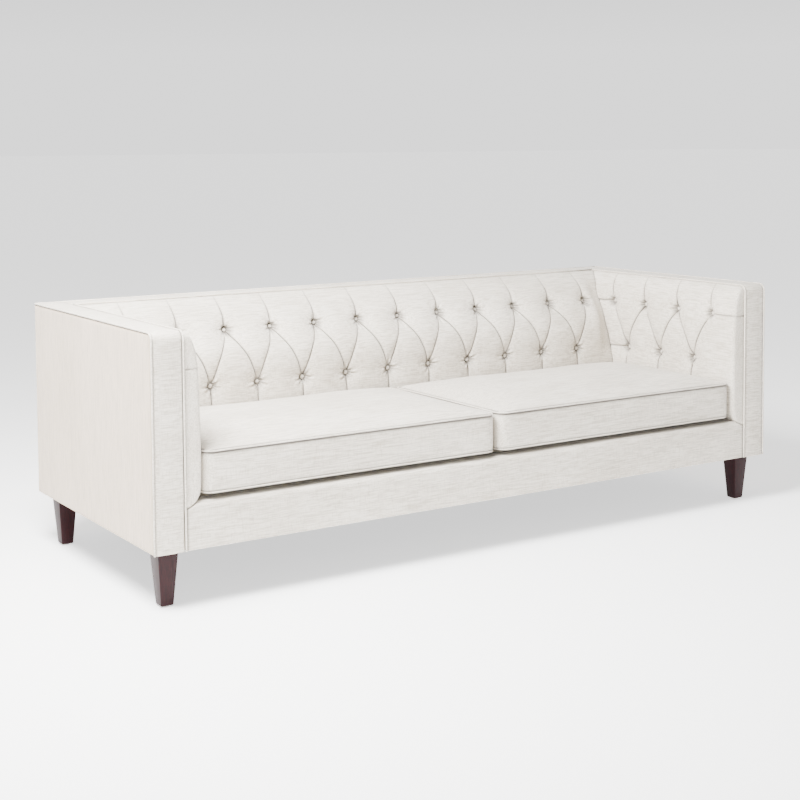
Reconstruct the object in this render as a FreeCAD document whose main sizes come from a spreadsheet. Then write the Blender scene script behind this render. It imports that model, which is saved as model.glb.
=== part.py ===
"""A tuxedo sofa: arms and back at one height, tufted inside, two loose seat cushions, four tapered legs.

Millimetres. X runs along the sofa, the front faces -Y, and the floor is at Z 0. The origin is on the
floor under the middle of the sofa.
"""

import FreeCAD, Part
import Sketcher
import math
import os

Vector = FreeCAD.Vector
doc = FreeCAD.newDocument("tuxedo_sofa")
sheet = doc.addObject("Spreadsheet::Sheet", "sizes")

# Driving dimensions: name, millimetres (or a count) and what it is
SIZES = (
    ("overall_width", 2290, "outside of arm to outside of arm"),
    ("overall_depth", 902, "front of arms to outside back"),
    ("overall_height", 760, "floor to the top of arms and back"),
    ("leg_height", 161, "floor to the underside of the upholstery"),
    ("arm_width", 95, "outside of arm to the middle of its inner welt"),
    ("back_width", 95, "outside back to the middle of its inner welt"),
    ("deck_height", 296, "floor to the deck under the cushions"),
    ("welt_room", 6, "square corner that a welt lies in"),
    ("welt_slack", 0.2, "gap between a welt and its neighbours"),
    ("panel_thickness", 6, "padded cloth on the outside"),
    ("band_thickness", 20, "padding and cloth on arm fronts and tops"),
    ("band_inner_radius", 5, "wood nose under the band's corner"),
    ("band_crown", 3, "rise of a band between its welts"),
    ("border_thickness", 16, "padding on the front rail"),
    ("border_roll", 14, "rolled upper edge of the border"),
    ("rest_gap", 0.3, "gap where loose or soft pieces rest"),
    ("board", 22, "flat boards of arms and back"),
    ("rail_thickness", 32, "front, back and spring rails"),
    ("side_rail_thickness", 25, "side rails"),
    ("post_thickness", 35, "upright posts of the arms"),
    ("spring_rail_drop", 80, "depth of the spring rail"),
    ("spring_rail_setback", 56, "webbing lean from top to spring rail"),
    ("upright_width", 60, "intermediate uprights in the back"),
    ("upright_pitch", 525, "distance between those uprights"),
    ("backing_thickness", 6, "board behind the arm pads"),
    ("webbing_width", 50, "back webbing"),
    ("webbing_thickness", 3, "back webbing"),
    ("webbing_count", 8, "back webbing straps"),
    ("webbing_end", 36, "length tacked on the spring rail"),
    ("deck_thickness", 18, "insulator and deck cloth over the springs"),
    ("clip_height", 5, "folded clip on a rail"),
    ("clip_sheet", 0.7, "steel of a clip"),
    ("clip_depth", 16, "clip along the spring"),
    ("clip_width", 24, "clip along the rail"),
    ("spring_wire", 3.4, "sinuous spring wire"),
    ("spring_width", 48, "one sinuous spring, side to side"),
    ("spring_bars", 10, "cross bars of one spring"),
    ("spring_count", 8, "sinuous springs"),
    ("stretcher_width", 40, "brace under the springs"),
    ("stretcher_height", 60, "brace under the springs"),
    ("dust_cover", 2, "cloth under the frame"),
    ("block_height", 50, "corner blocks over the legs"),
    ("block_length", 65, "corner blocks along the arm"),
    ("leg_top", 61, "side of a leg at the top"),
    ("leg_foot", 37, "side of a leg at the floor"),
    ("leg_chamfer", 4, "chamfer round the foot"),
    ("leg_side_inset", 31, "outside of arm to leg"),
    ("leg_front_inset", 46, "front of arm to front leg"),
    ("leg_rear_inset", 40, "outside back to rear leg"),
    ("bolt_diameter", 8, "bolt in the leg"),
    ("bolt_in_leg", 40, "bolt length inside the leg"),
    ("bolt_hole_gap", 0.3, "play round the bolt"),
    ("nut_size", 15, "hexagon nut, corner to corner"),
    ("nut_height", 6.5, "hexagon nut"),
    ("glide_height", 3, "nylon glide under a leg"),
    ("glide_diameter", 25, "nylon glide under a leg"),
    ("arm_pad_thickness", 53, "tufted pad from arm frame to its face"),
    ("arm_pad_shoulder", 30, "rounding at the top of an arm pad"),
    ("arm_pad_tuck", 44, "tuck at the foot of an arm pad"),
    ("arm_button_pitch", 171, "between buttons on an arm"),
    ("arm_button_front", 125, "front of arm pad to first upper button"),
    ("arm_upper_buttons", 4, "upper row on one arm"),
    ("back_pad_top", 26, "back pad under its top seam"),
    ("back_pad_shoulder", 90, "back pad half way to the upper buttons"),
    ("back_pad_upper", 126, "back pad between the upper buttons"),
    ("back_pad_swell", 170, "back pad a third of the way to the lower buttons"),
    ("back_pad_lower", 184, "back pad from there down"),
    ("back_upper_buttons", 12, "upper row on the back"),
    ("upper_row_drop", 108, "top of arms and back to upper buttons"),
    ("lower_row_rise", 190, "deck to lower buttons"),
    ("upper_tuft_depth", 38, "upper button seats below the puffs of the back"),
    ("lower_tuft_depth", 18, "lower button seats below the puffs of the back"),
    ("arm_tuft_depth", 15, "button seats below the puffs of an arm"),
    ("pleat_depth", 8, "pleats below the puffs, away from buttons"),
    ("pleat_width", 3, "open width of a pleat"),
    ("button_diameter", 19, "covered button"),
    ("button_height", 6, "covered button"),
    ("button_seat", 10, "half side of the flat seat under a button"),
    ("cushion_side_gap", 6, "cushion to arm pad, back pad and cushion"),
    ("cushion_front_inset", 6, "front of arms to cushion front"),
    ("cushion_boxing", 112, "between the two welts of a cushion"),
    ("cushion_corner", 36, "plan radius at cushion corners"),
    ("cushion_crown", 22, "rise of the top above its welt"),
    ("cushion_belly", 12.7, "drop of the underside below its welt"),
    ("cushion_bulge", 4, "swell of the boxing between the welts"),
    ("cushion_draw", 4, "sides drawn in between the corners"),
    ("cover_cloth", 1.5, "cushion cover thickness"),
    ("core_gap", 0.5, "foam core to its cover"),
    ("cushion_welt", 6, "welt on the cushion edges"),
    ("zip_length", 840, "zip in the back of a cushion"),
    ("zip_tape_width", 26, "zip tape"),
    ("zip_tape", 0.8, "zip tape thickness"),
    ("zip_coil_width", 5, "closed coil"),
    ("zip_coil", 1.4, "coil height over the tape"),
    ("slider_length", 12, "zip slider"),
    ("slider_width", 9, "zip slider"),
    ("slider_height", 1.6, "zip slider over the coil"),
)

for row, (alias, number, _meaning) in enumerate(SIZES, start=1):
    sheet.set(f"A{row}", alias)
    sheet.set(f"B{row}", str(number))
    sheet.setAlias(f"B{row}", alias)
doc.recompute()


def cell(alias):
    """The number that the sheet holds for a size."""
    return float(sheet.get(alias))


# Planes that many pieces share, as formulas on the sheet's cells
SIDE = "sizes.overall_width / 2"
FRONT = "-sizes.overall_depth / 2"
BACK = "sizes.overall_depth / 2"
TOP = "sizes.overall_height"
FLOOR_OF_FRAME = "(sizes.leg_height + sizes.dust_cover)"
ARM_OUT = f"({SIDE} - sizes.panel_thickness)"
ARM_IN = f"({SIDE} - sizes.arm_width + sizes.welt_room / 2)"
ARM_WELT = f"({SIDE} - sizes.arm_width)"
ARM_DEPTH = f"({ARM_OUT} - {ARM_IN})"
FRAME_FRONT = f"({FRONT} + sizes.band_thickness)"
FRAME_BACK = f"({BACK} - sizes.panel_thickness)"
BACK_IN = f"({BACK} - sizes.back_width + sizes.welt_room / 2)"
FRAME_TOP = f"({TOP} - sizes.band_thickness)"
UNDER_BOARD = f"({FRAME_TOP} - sizes.board)"
SEAT_IN = f"({ARM_IN} - sizes.arm_pad_thickness)"
DECK_UNDER = "(sizes.deck_height - sizes.deck_thickness)"
RAIL_TOP = f"({DECK_UNDER} - sizes.clip_height)"
RAIL_BACK = f"({FRAME_FRONT} + sizes.rail_thickness)"
POST_BACK = f"({FRAME_FRONT} + sizes.post_thickness)"
REAR_POST = f"({FRAME_BACK} - sizes.post_thickness)"
UPPER_ROW = f"({TOP} - sizes.upper_row_drop)"
LOWER_ROW = "(sizes.deck_height + sizes.lower_row_rise)"
NOSE = "(sizes.band_inner_radius + sizes.band_thickness - sizes.welt_room)"
PAD_BACK = f"({BACK_IN} - sizes.webbing_thickness)"
SPRING_RAIL = f"({BACK_IN} - sizes.spring_rail_setback)"
PAD_TOP = f"({TOP} - sizes.welt_room)"
PAD_FOOT = f"({RAIL_TOP} + sizes.rest_gap)"
BORDER_END = f"({ARM_WELT} - sizes.welt_room / 2)"
BORDER_SLOPE = (f"({BORDER_END} + sizes.deck_height + 1.5 * sizes.rest_gap"
                f" - ({SEAT_IN} + sizes.arm_pad_tuck + {PAD_FOOT}))")


def value(formula):
    """The number that a formula on the sheet's cells gives now."""
    return float(sheet.evalExpression(formula))


def bind(piece, **formulas):
    """Bind properties of a piece to formulas, with x, y and z for its place."""
    for prop, formula in formulas.items():
        path = f"Placement.Base.{prop}" if prop in "xyz" else prop
        piece.setExpression(path, formula)


sub_parts = []


def keep(piece, name):
    """Give a finished piece the name of its file and list it as a sub-part."""
    piece.Label = name
    sub_parts.append(piece)
    return piece


def box(name, low, high):
    """A box between two corners that are given as formulas."""
    piece = doc.addObject("Part::Box", name)
    (x0, y0, z0), (x1, y1, z1) = low, high
    bind(piece, x=x0, y=y0, z=z0, Length=f"{x1} - ({x0})", Width=f"{y1} - ({y0})", Height=f"{z1} - ({z0})")
    return piece


def mirrored(side, near, far):
    """The X range of a piece on the right (side 1), or its mirror image on the left (side -1)."""
    return (near, far) if side > 0 else (f"-({far})", f"-({near})")


def origin_plane(body, role):
    return next(plane for plane in body.Origin.OriginFeatures if plane.Role == role)


def sketch_on(body, role, name):
    sketch = body.newObject("Sketcher::SketchObject", name)
    sketch.AttachmentSupport = [(origin_plane(body, role), "")]
    sketch.MapMode = "FlatFace"
    return sketch


def locate(sketch, name, edge, end, across, up):
    """Fix the end of a sketch edge at two formulas from the sketch's origin."""
    for axis, formula in (("X", across), ("Y", up)):
        number = value(formula)
        row = sketch.addConstraint(Sketcher.Constraint(f"Distance{axis}", -1, 1, edge, end, number))
        sketch.renameConstraint(row, f"{name}_{axis.lower()}")
        sketch.setExpression(f"Constraints.{name}_{axis.lower()}", formula)


def outline(body, role, name, corners):
    """A closed sketch of straight edges through corners given as pairs of formulas."""
    sketch = sketch_on(body, role, name)
    points = [Vector(value(across), value(up), 0) for across, up in corners]
    for here, after in zip(points, points[1:] + points[:1]):
        sketch.addGeometry(Part.LineSegment(here, after), False)
    for edge in range(len(points)):
        sketch.addConstraint(Sketcher.Constraint("Coincident", edge, 2, (edge + 1) % len(points), 1))
    for edge, (across, up) in enumerate(corners):
        locate(sketch, f"corner_{edge}", edge, 1, across, up)
    return sketch


def pad(body, sketch, length, name="pad"):
    feature = body.newObject("PartDesign::Pad", name)
    feature.Profile = sketch
    feature.setExpression("Length", length)
    doc.recompute()
    return feature


def dress(body, kind, base, chosen, prop, formula, name):
    """A fillet or chamfer on the edges of the last feature that a test picks out."""
    edges = [f"Edge{i}" for i, edge in enumerate(base.Shape.Edges, start=1) if chosen(edge)]
    feature = body.newObject(f"PartDesign::{kind}", name)
    feature.Base = (base, edges)
    feature.setExpression(prop, formula)
    doc.recompute()
    return feature


def runs_along(edge, axis):
    """Whether a straight edge runs along a world axis."""
    if edge.Curve.TypeId != "Part::GeomLine":
        return False
    return abs(abs(edge.tangentAt(edge.FirstParameter).dot(axis)) - 1) < 1e-6


AXIS_X, AXIS_Y, AXIS_Z = Vector(1, 0, 0), Vector(0, 1, 0), Vector(0, 0, 1)
SIDES = (("left", -1), ("right", 1))


# Wooden frame
def side_frame(word, side):
    """Rail, posts, top board and backing of one arm."""
    rail = f"({ARM_OUT} - sizes.side_rail_thickness)"
    x0, x1 = mirrored(side, rail, ARM_OUT)
    keep(box(f"{word}_side_rail", (x0, POST_BACK, FLOOR_OF_FRAME), (x1, REAR_POST, RAIL_TOP)),
         f"{word}_side_rail")
    x0, x1 = mirrored(side, ARM_IN, ARM_OUT)
    keep(box(f"{word}_front_post", (x0, FRAME_FRONT, FLOOR_OF_FRAME), (x1, POST_BACK, UNDER_BOARD)),
         f"{word}_front_post")
    keep(box(f"{word}_rear_post", (x0, REAR_POST, FLOOR_OF_FRAME), (x1, FRAME_BACK, UNDER_BOARD)),
         f"{word}_rear_post")
    backing = f"({ARM_IN} + sizes.backing_thickness)"
    b0, b1 = mirrored(side, ARM_IN, backing)
    keep(box(f"{word}_arm_backing", (b0, POST_BACK, RAIL_TOP), (b1, REAR_POST, UNDER_BOARD)),
         f"{word}_arm_backing")

    body = doc.addObject("PartDesign::Body", f"{word}_arm_top_rail")
    side_view = outline(body, "YZ_Plane", f"{word}_arm_top_rail_side", (
        (FRAME_FRONT, UNDER_BOARD), (FRAME_BACK, UNDER_BOARD), (FRAME_BACK, FRAME_TOP),
        (FRAME_FRONT, FRAME_TOP)))
    board = pad(body, side_view, ARM_DEPTH, f"{word}_arm_top_rail_board")
    front, top = value(FRAME_FRONT), value(FRAME_TOP)
    dress(body, "Fillet", board,
          lambda edge: runs_along(edge, AXIS_X)
          and abs(edge.CenterOfMass.y - front) < 0.01 and abs(edge.CenterOfMass.z - top) < 0.01,
          "Radius", "sizes.band_inner_radius", f"{word}_arm_top_rail_nose")
    bind(body, x=x0)
    keep(body, f"{word}_arm_top_rail")


def rail(name, y0, y1, z0, z1, reach):
    """A board across the sofa between the arms."""
    keep(box(name, (f"-({reach})", y0, z0), (reach, y1, z1)), name)


for word, side in SIDES:
    side_frame(word, side)
rail("front_rail", FRAME_FRONT, RAIL_BACK, FLOOR_OF_FRAME, RAIL_TOP, ARM_IN)
rail("back_bottom_rail", f"({FRAME_BACK} - sizes.rail_thickness)", FRAME_BACK, FLOOR_OF_FRAME, RAIL_TOP,
     ARM_IN)
rail("back_top_rail", BACK_IN, FRAME_BACK, UNDER_BOARD, FRAME_TOP, ARM_IN)
rail("spring_rail", SPRING_RAIL, f"({SPRING_RAIL} + sizes.rail_thickness)",
     f"({RAIL_TOP} - sizes.spring_rail_drop)", RAIL_TOP, f"({ARM_OUT} - sizes.side_rail_thickness)")
keep(box("seat_stretcher",
         ("-sizes.stretcher_width / 2", RAIL_BACK, f"({RAIL_TOP} - sizes.stretcher_height)"),
         ("sizes.stretcher_width / 2", SPRING_RAIL, RAIL_TOP)), "seat_stretcher")


def group(name, pieces):
    """Separate solids of one kind that share a node."""
    compound = doc.addObject("Part::Compound", name)
    compound.Links = pieces
    return keep(compound, name)


group("back_uprights", [
    box(f"upright_{step + 2}",
        (f"{step} * sizes.upright_pitch - sizes.upright_width / 2",
         f"({FRAME_BACK} - sizes.rail_thickness)", RAIL_TOP),
        (f"{step} * sizes.upright_pitch + sizes.upright_width / 2", FRAME_BACK, UNDER_BOARD))
    for step in (-1, 0, 1)])

# Legs, and the blocks, bolts, nuts and glides that go with them
LEG_X = f"({SIDE} - sizes.leg_side_inset - sizes.leg_top / 2)"
LEG_PLACES = (
    ("front", f"({FRONT} + sizes.leg_front_inset + sizes.leg_top / 2)"),
    ("rear", f"({BACK} - sizes.leg_rear_inset - sizes.leg_top / 2)"),
)


def tapered_block(name, x, y, z, height, half_below, half_above):
    """A square block that widens upwards, standing on its smaller face."""
    block = doc.addObject("Part::Wedge", name)
    bind(block, Xmin=f"-({half_below})", Xmax=half_below, Zmin=f"-({half_below})", Zmax=half_below,
         X2min=f"-({half_above})", X2max=half_above, Z2min=f"-({half_above})", Z2max=half_above,
         Ymin="0", Ymax=height)
    block.Placement = FreeCAD.Placement(Vector(0, 0, 0), FreeCAD.Rotation(AXIS_X, 90))
    bind(block, x=x, y=y, z=z)
    return block


def leg(name, x, y):
    """A solid tapered leg with a chamfered foot and a blind hole for its bolt."""
    foot = tapered_block(f"{name}_foot", x, y, "sizes.glide_height", "sizes.leg_chamfer",
                         "sizes.leg_foot / 2 - sizes.leg_chamfer", "sizes.leg_foot / 2")
    shin = tapered_block(f"{name}_shin", x, y, "sizes.glide_height + sizes.leg_chamfer",
                         f"{FLOOR_OF_FRAME} - sizes.glide_height - sizes.leg_chamfer",
                         "sizes.leg_foot / 2", "sizes.leg_top / 2")
    whole = doc.addObject("Part::Fuse", f"{name}_solid")
    whole.Base = shin
    whole.Tool = foot
    drilled = doc.addObject("Part::Cut", name)
    drilled.Base = whole
    drilled.Tool = cylinder(f"{name}_hole", x, y,
                            f"{FLOOR_OF_FRAME} - sizes.bolt_in_leg - sizes.bolt_hole_gap",
                            "sizes.bolt_diameter / 2 + sizes.bolt_hole_gap", TOP)
    return keep(drilled, name)


def cylinder(name, x, y, z, radius, height):
    piece = doc.addObject("Part::Cylinder", name)
    bind(piece, x=x, y=y, z=z, Radius=radius, Height=height)
    return piece


blocks, bolts, nuts, glides = [], [], [], []
for end, leg_y in LEG_PLACES:
    for word, side in SIDES:
        place = f"{end}_{word}"
        leg_x = LEG_X if side > 0 else f"-{LEG_X}"
        leg(f"{place}_leg", leg_x, leg_y)
        near, far = mirrored(side, ARM_IN, f"({ARM_OUT} - sizes.side_rail_thickness)")
        y0 = POST_BACK if end == "front" else f"({REAR_POST} - sizes.block_length)"
        solid = box(f"{place}_block_solid", (near, y0, FLOOR_OF_FRAME),
                    (far, f"({y0} + sizes.block_length)", f"({FLOOR_OF_FRAME} + sizes.block_height)"))
        bore = cylinder(f"{place}_block_bore", leg_x, leg_y, "0",
                        "sizes.bolt_diameter / 2 + sizes.bolt_hole_gap", TOP)
        block = doc.addObject("Part::Cut", f"{place}_block")
        block.Base = solid
        block.Tool = bore
        blocks.append(block)
        bolts.append(cylinder(f"{place}_bolt", leg_x, leg_y, f"{FLOOR_OF_FRAME} - sizes.bolt_in_leg",
                              "sizes.bolt_diameter / 2",
                              "sizes.bolt_in_leg + sizes.block_height + sizes.nut_height"))
        hexagon = doc.addObject("Part::Prism", f"{place}_nut_solid")
        hexagon.Polygon = 6
        bind(hexagon, x=leg_x, y=leg_y, z=f"{FLOOR_OF_FRAME} + sizes.block_height",
             Circumradius="sizes.nut_size / 2", Height="sizes.nut_height")
        nut = doc.addObject("Part::Cut", f"{place}_nut")
        nut.Base = hexagon
        nut.Tool = cylinder(f"{place}_nut_bore", leg_x, leg_y, FLOOR_OF_FRAME, "sizes.bolt_diameter / 2", TOP)
        nuts.append(nut)
        glides.append(cylinder(f"{place}_glide", leg_x, leg_y, "0", "sizes.glide_diameter / 2",
                               "sizes.glide_height"))
group("corner_blocks", blocks)
group("leg_bolts", bolts)
group("leg_nuts", nuts)
group("leg_glides", glides)


# Dust cover, cut out round the legs
def dust_cover():
    body = doc.addObject("PartDesign::Body", "dust_cover")
    sheet_outline = outline(body, "XY_Plane", "dust_cover_outline", (
        (f"-{ARM_OUT}", FRAME_FRONT), (ARM_OUT, FRAME_FRONT), (ARM_OUT, FRAME_BACK),
        (f"-{ARM_OUT}", FRAME_BACK)))
    cloth = pad(body, sheet_outline, "sizes.dust_cover", "dust_cover_cloth")
    half = "sizes.leg_top / 2"
    for end, leg_y in LEG_PLACES:
        for word, side in SIDES:
            name = f"cutout_{end}_{word}"
            x = LEG_X if side > 0 else f"-{LEG_X}"
            corners = [(f"{x} {sx} {half}", f"{leg_y} {sy} {half}")
                       for sx, sy in (("-", "-"), ("+", "-"), ("+", "+"), ("-", "+"))]
            before = cloth.Shape.Volume
            cutout = outline(body, "XY_Plane", name, corners)
            cloth = body.newObject("PartDesign::Pocket", f"{name}_pocket")
            cloth.Profile = cutout
            cloth.Type = "ThroughAll"
            cloth.Midplane = True
            doc.recompute()
            if cloth.Shape.Volume > before - 1:
                raise ValueError(f"{name} cuts nothing")
    bind(body, z="sizes.leg_height")
    keep(body, "dust_cover")


dust_cover()


# Springs, clips, webbing and deck
def serpentine(x, y0, y1, width, bars, wire):
    """The outline of a flat wire that crosses from side to side on its way back."""
    pitch = (y1 - y0) / (bars - 1)
    path = []
    for bar in range(bars):
        ends = (x - width / 2, x + width / 2)
        near, far = ends if bar % 2 == 0 else ends[::-1]
        path += [Vector(near, y0 + bar * pitch, 0), Vector(far, y0 + bar * pitch, 0)]
    left, right = [], []
    for i, point in enumerate(path):
        before = (point - path[i - 1]).normalize() if i else Vector(0, 0, 0)
        after = (path[i + 1] - point).normalize() if i + 1 < len(path) else Vector(0, 0, 0)
        corner = Vector(-before.y - after.y, before.x + after.x, 0) * (wire / 2)
        left.append(point + corner)
        right.append(point - corner)
    return left + right[::-1]


def feature(name, shape):
    """A sub-part whose shape is worked out by the functions below."""
    piece = doc.addObject("Part::Feature", name)
    piece.Shape = shape
    piece.Placement = FreeCAD.Placement()
    return keep(piece, name)


def spread(count, reach):
    """Centres of equal steps across the seat."""
    step = 2 * reach / count
    return [-reach + step * (i + 0.5) for i in range(count)]


def springs_and_clips():
    wire, rail_top = cell("spring_wire"), value(RAIL_TOP)
    clip_depth, clip_width, clip_height = cell("clip_depth"), cell("clip_width"), cell("clip_height")
    sheet_steel, gap = cell("clip_sheet"), cell("welt_slack")
    front, rear = value(RAIL_BACK) - clip_depth, value(SPRING_RAIL) + clip_depth
    springs, clips = [], []
    for x in spread(int(cell("spring_count")), value(SEAT_IN)):
        y0, y1 = front + sheet_steel + gap + wire / 2, rear - sheet_steel - gap - wire / 2
        edge = serpentine(x, y0, y1, cell("spring_width"), int(cell("spring_bars")), wire)
        flat = Part.Face(Part.makePolygon(edge + edge[:1]))
        flat.translate(Vector(0, 0, rail_top + (clip_height - wire) / 2))
        springs.append(flat.extrude(Vector(0, 0, wire)))
        for back_end, way in ((front, 1), (rear, -1)):
            profile = [Vector(x - clip_width / 2, back_end + way * y, rail_top + z) for y, z in (
                (0, 0), (clip_depth, 0), (clip_depth, sheet_steel), (sheet_steel, sheet_steel),
                (sheet_steel, clip_height - sheet_steel), (clip_depth / 2, clip_height - sheet_steel),
                (clip_depth / 2, clip_height), (0, clip_height))]
            fold = Part.Face(Part.makePolygon(profile + profile[:1]))
            clips.append(fold.extrude(Vector(clip_width, 0, 0)))
    feature("sinuous_springs", Part.makeCompound(springs))
    feature("spring_clips", Part.makeCompound(clips))


def webbing():
    """Straps up the back, each beside a spring and not over it."""
    thick, low = cell("webbing_thickness"), value(RAIL_TOP) - cell("webbing_end")
    top_y, rail_y = value(PAD_BACK), value(SPRING_RAIL) - thick
    route = ((rail_y, low), (rail_y, value(RAIL_TOP)), (top_y, value(UNDER_BOARD)), (top_y, value(FRAME_TOP)))
    straps = []
    count = int(cell("webbing_count"))
    aside = value(SEAT_IN) / count / 2
    for x in spread(count, value(SEAT_IN)):
        left = x - math.copysign(aside, x) - cell("webbing_width") / 2
        edge = [Vector(left, y, z) for y, z in route] + [Vector(left, y + thick, z) for y, z in route[::-1]]
        straps.append(Part.Face(Part.makePolygon(edge + edge[:1])).extrude(
            Vector(cell("webbing_width"), 0, 0)))
    feature("back_webbing", Part.makeCompound(straps))


springs_and_clips()
webbing()
keep(box("deck_pad",
         (f"-({SEAT_IN} - sizes.rest_gap)", RAIL_BACK, DECK_UNDER),
         (f"({SEAT_IN} - sizes.rest_gap)",
          f"({SPRING_RAIL} - sizes.webbing_thickness - sizes.rest_gap)", "sizes.deck_height")), "deck_pad")


# Outside panels with their front top corner rounded like the band
def outside_arm_panel(word, side):
    body = doc.addObject("PartDesign::Body", f"{word}_outside_arm_panel")
    front, top = f"({FRONT} + sizes.welt_room)", PAD_TOP
    side_view = outline(body, "YZ_Plane", f"{word}_panel_side", (
        (front, "sizes.leg_height"), (BACK, "sizes.leg_height"), (BACK, top), (front, top)))
    sheet_body = pad(body, side_view, "sizes.panel_thickness", f"{word}_panel_cloth")
    y, z = value(front), value(top)
    dress(body, "Fillet", sheet_body,
          lambda edge: runs_along(edge, AXIS_X)
          and abs(edge.CenterOfMass.y - y) < 0.01 and abs(edge.CenterOfMass.z - z) < 0.01,
          "Radius", NOSE,
          f"{word}_panel_corner")
    bind(body, x=mirrored(side, ARM_OUT, SIDE)[0])
    keep(body, f"{word}_outside_arm_panel")


# Bands: one padded strip up the front of an arm, round its corner and back along its top
def band_profile(body, name, width):
    """A strip's section: flat on the wood, crowned between the welts on its other side."""
    sketch = sketch_on(body, "XY_Plane", f"{name}_section")
    edge = "-(sizes.band_thickness - sizes.band_crown)"
    corners = (("0", "0"), (width, "0"), (width, edge), ("0", edge))
    points = [Vector(value(across), value(up), 0) for across, up in corners]
    crown = Vector(value(width) / 2, -cell("band_thickness"), 0)
    sketch.addGeometry(Part.LineSegment(points[0], points[1]), False)
    sketch.addGeometry(Part.LineSegment(points[1], points[2]), False)
    sketch.addGeometry(Part.Arc(points[2], crown, points[3]), False)
    sketch.addGeometry(Part.LineSegment(points[3], points[0]), False)
    arc_start = 2 if (sketch.getPoint(2, 2) - points[2]).Length < 1e-6 else 1
    arc_end = 3 - arc_start
    sketch.addConstraint(Sketcher.Constraint("Coincident", 0, 2, 1, 1))
    sketch.addConstraint(Sketcher.Constraint("Coincident", 1, 2, 2, arc_start))
    sketch.addConstraint(Sketcher.Constraint("Coincident", 2, arc_end, 3, 1))
    sketch.addConstraint(Sketcher.Constraint("Coincident", 3, 2, 0, 1))
    locate(sketch, "start", 0, 1, *corners[0])
    locate(sketch, "end", 0, 2, *corners[1])
    locate(sketch, "far", 1, 2, *corners[2])
    locate(sketch, "near", 3, 1, *corners[3])
    row = sketch.addConstraint(Sketcher.Constraint("Radius", 2, 400))
    sketch.renameConstraint(row, "crown_radius")
    chord = f"({width})"
    sketch.setExpression("Constraints.crown_radius",
                         f"({chord} * {chord} / 4 + sizes.band_crown * sizes.band_crown)"
                         " / (2 * sizes.band_crown)")
    return sketch


def arm_band(word, side):
    body = doc.addObject("PartDesign::Body", f"{word}_arm_band")
    section = band_profile(body, f"{word}_arm_band", ARM_DEPTH)
    rise, run = f"({FRAME_TOP} - sizes.leg_height)", f"({FRAME_BACK} - {FRAME_FRONT})"
    radius = "sizes.band_inner_radius"
    route = sketch_on(body, "YZ_Plane", f"{word}_arm_band_route")
    high, deep, bend = value(rise), value(run), value(radius)
    route.addGeometry(Part.LineSegment(Vector(0, 0, 0), Vector(0, high - bend, 0)), False)
    circle = Part.Circle(Vector(bend, high - bend, 0), AXIS_Z, bend)
    route.addGeometry(Part.ArcOfCircle(circle, math.pi / 2, math.pi), False)
    route.addGeometry(Part.LineSegment(Vector(bend, high, 0), Vector(deep, high, 0)), False)
    route.addConstraint(Sketcher.Constraint("Coincident", 0, 1, -1, 1))
    route.addConstraint(Sketcher.Constraint("Vertical", 0))
    route.addConstraint(Sketcher.Constraint("Horizontal", 2))
    route.addConstraint(Sketcher.Constraint("Tangent", 0, 2, 1, 2))
    route.addConstraint(Sketcher.Constraint("Tangent", 1, 1, 2, 1))
    row = route.addConstraint(Sketcher.Constraint("Radius", 1, bend))
    route.renameConstraint(row, "bend")
    route.setExpression("Constraints.bend", radius)
    locate(route, "end", 2, 2, run, rise)
    pipe = body.newObject("PartDesign::AdditivePipe", f"{word}_arm_band_strip")
    pipe.Profile = section
    pipe.Spine = route
    doc.recompute()
    bind(body, x=mirrored(side, ARM_IN, ARM_OUT)[0], y=FRAME_FRONT, z="sizes.leg_height")
    keep(body, f"{word}_arm_band")


def back_band():
    """The same section along the top of the back, between the bands of the arms."""
    body = doc.addObject("PartDesign::Body", "back_top_band")
    width = f"({FRAME_BACK} - {BACK_IN})"
    section = band_profile(body, "back_top_band", width)
    pad(body, section, f"2 * {ARM_IN}", "back_top_band_strip")
    turn = FreeCAD.Rotation(Vector(0, 1, 0), Vector(0, 0, -1), Vector(-1, 0, 0), "ZXY")
    body.Placement = FreeCAD.Placement(Vector(0, 0, 0), turn)
    bind(body, x=ARM_IN, y=BACK_IN, z=FRAME_TOP)
    keep(body, "back_top_band")


def front_border():
    """The padded cover of the front rail: sloped upper corners and a rolled upper edge."""
    body = doc.addObject("PartDesign::Body", "front_border")
    face = f"({FRAME_FRONT} - sizes.border_thickness)"
    side_view = outline(body, "YZ_Plane", "front_border_side", (
        (face, "sizes.leg_height"), (FRAME_FRONT, "sizes.leg_height"),
        (FRAME_FRONT, f"({RAIL_TOP} + sizes.clip_height)"), (RAIL_BACK, f"({RAIL_TOP} + sizes.clip_height)"),
        (RAIL_BACK, "sizes.deck_height"), (face, "sizes.deck_height")))
    block = pad(body, side_view, f"2 * {BORDER_END}", "front_border_strip")
    top, slope = cell("deck_height"), value(BORDER_SLOPE)
    sloped = dress(body, "Chamfer", block,
                   lambda edge: runs_along(edge, AXIS_Y) and abs(edge.CenterOfMass.z - top) < 0.01,
                   "Size", BORDER_SLOPE, "front_border_slope")
    front = value(face)
    dress(body, "Fillet", sloped,
          lambda edge: abs(edge.BoundBox.YMin - front) < 0.01 and abs(edge.BoundBox.YMax - front) < 0.01
          and edge.BoundBox.ZMin > top - slope - 0.01,
          "Radius", "sizes.border_roll", "front_border_roll")
    bind(body, x=f"-{BORDER_END}")
    keep(body, "front_border")


for word, side in SIDES:
    outside_arm_panel(word, side)
    arm_band(word, side)
keep(box("outside_back_panel", (f"-{ARM_OUT}", FRAME_BACK, "sizes.leg_height"), (ARM_OUT, BACK, PAD_TOP)),
     "outside_back_panel")
back_band()
front_border()


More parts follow.
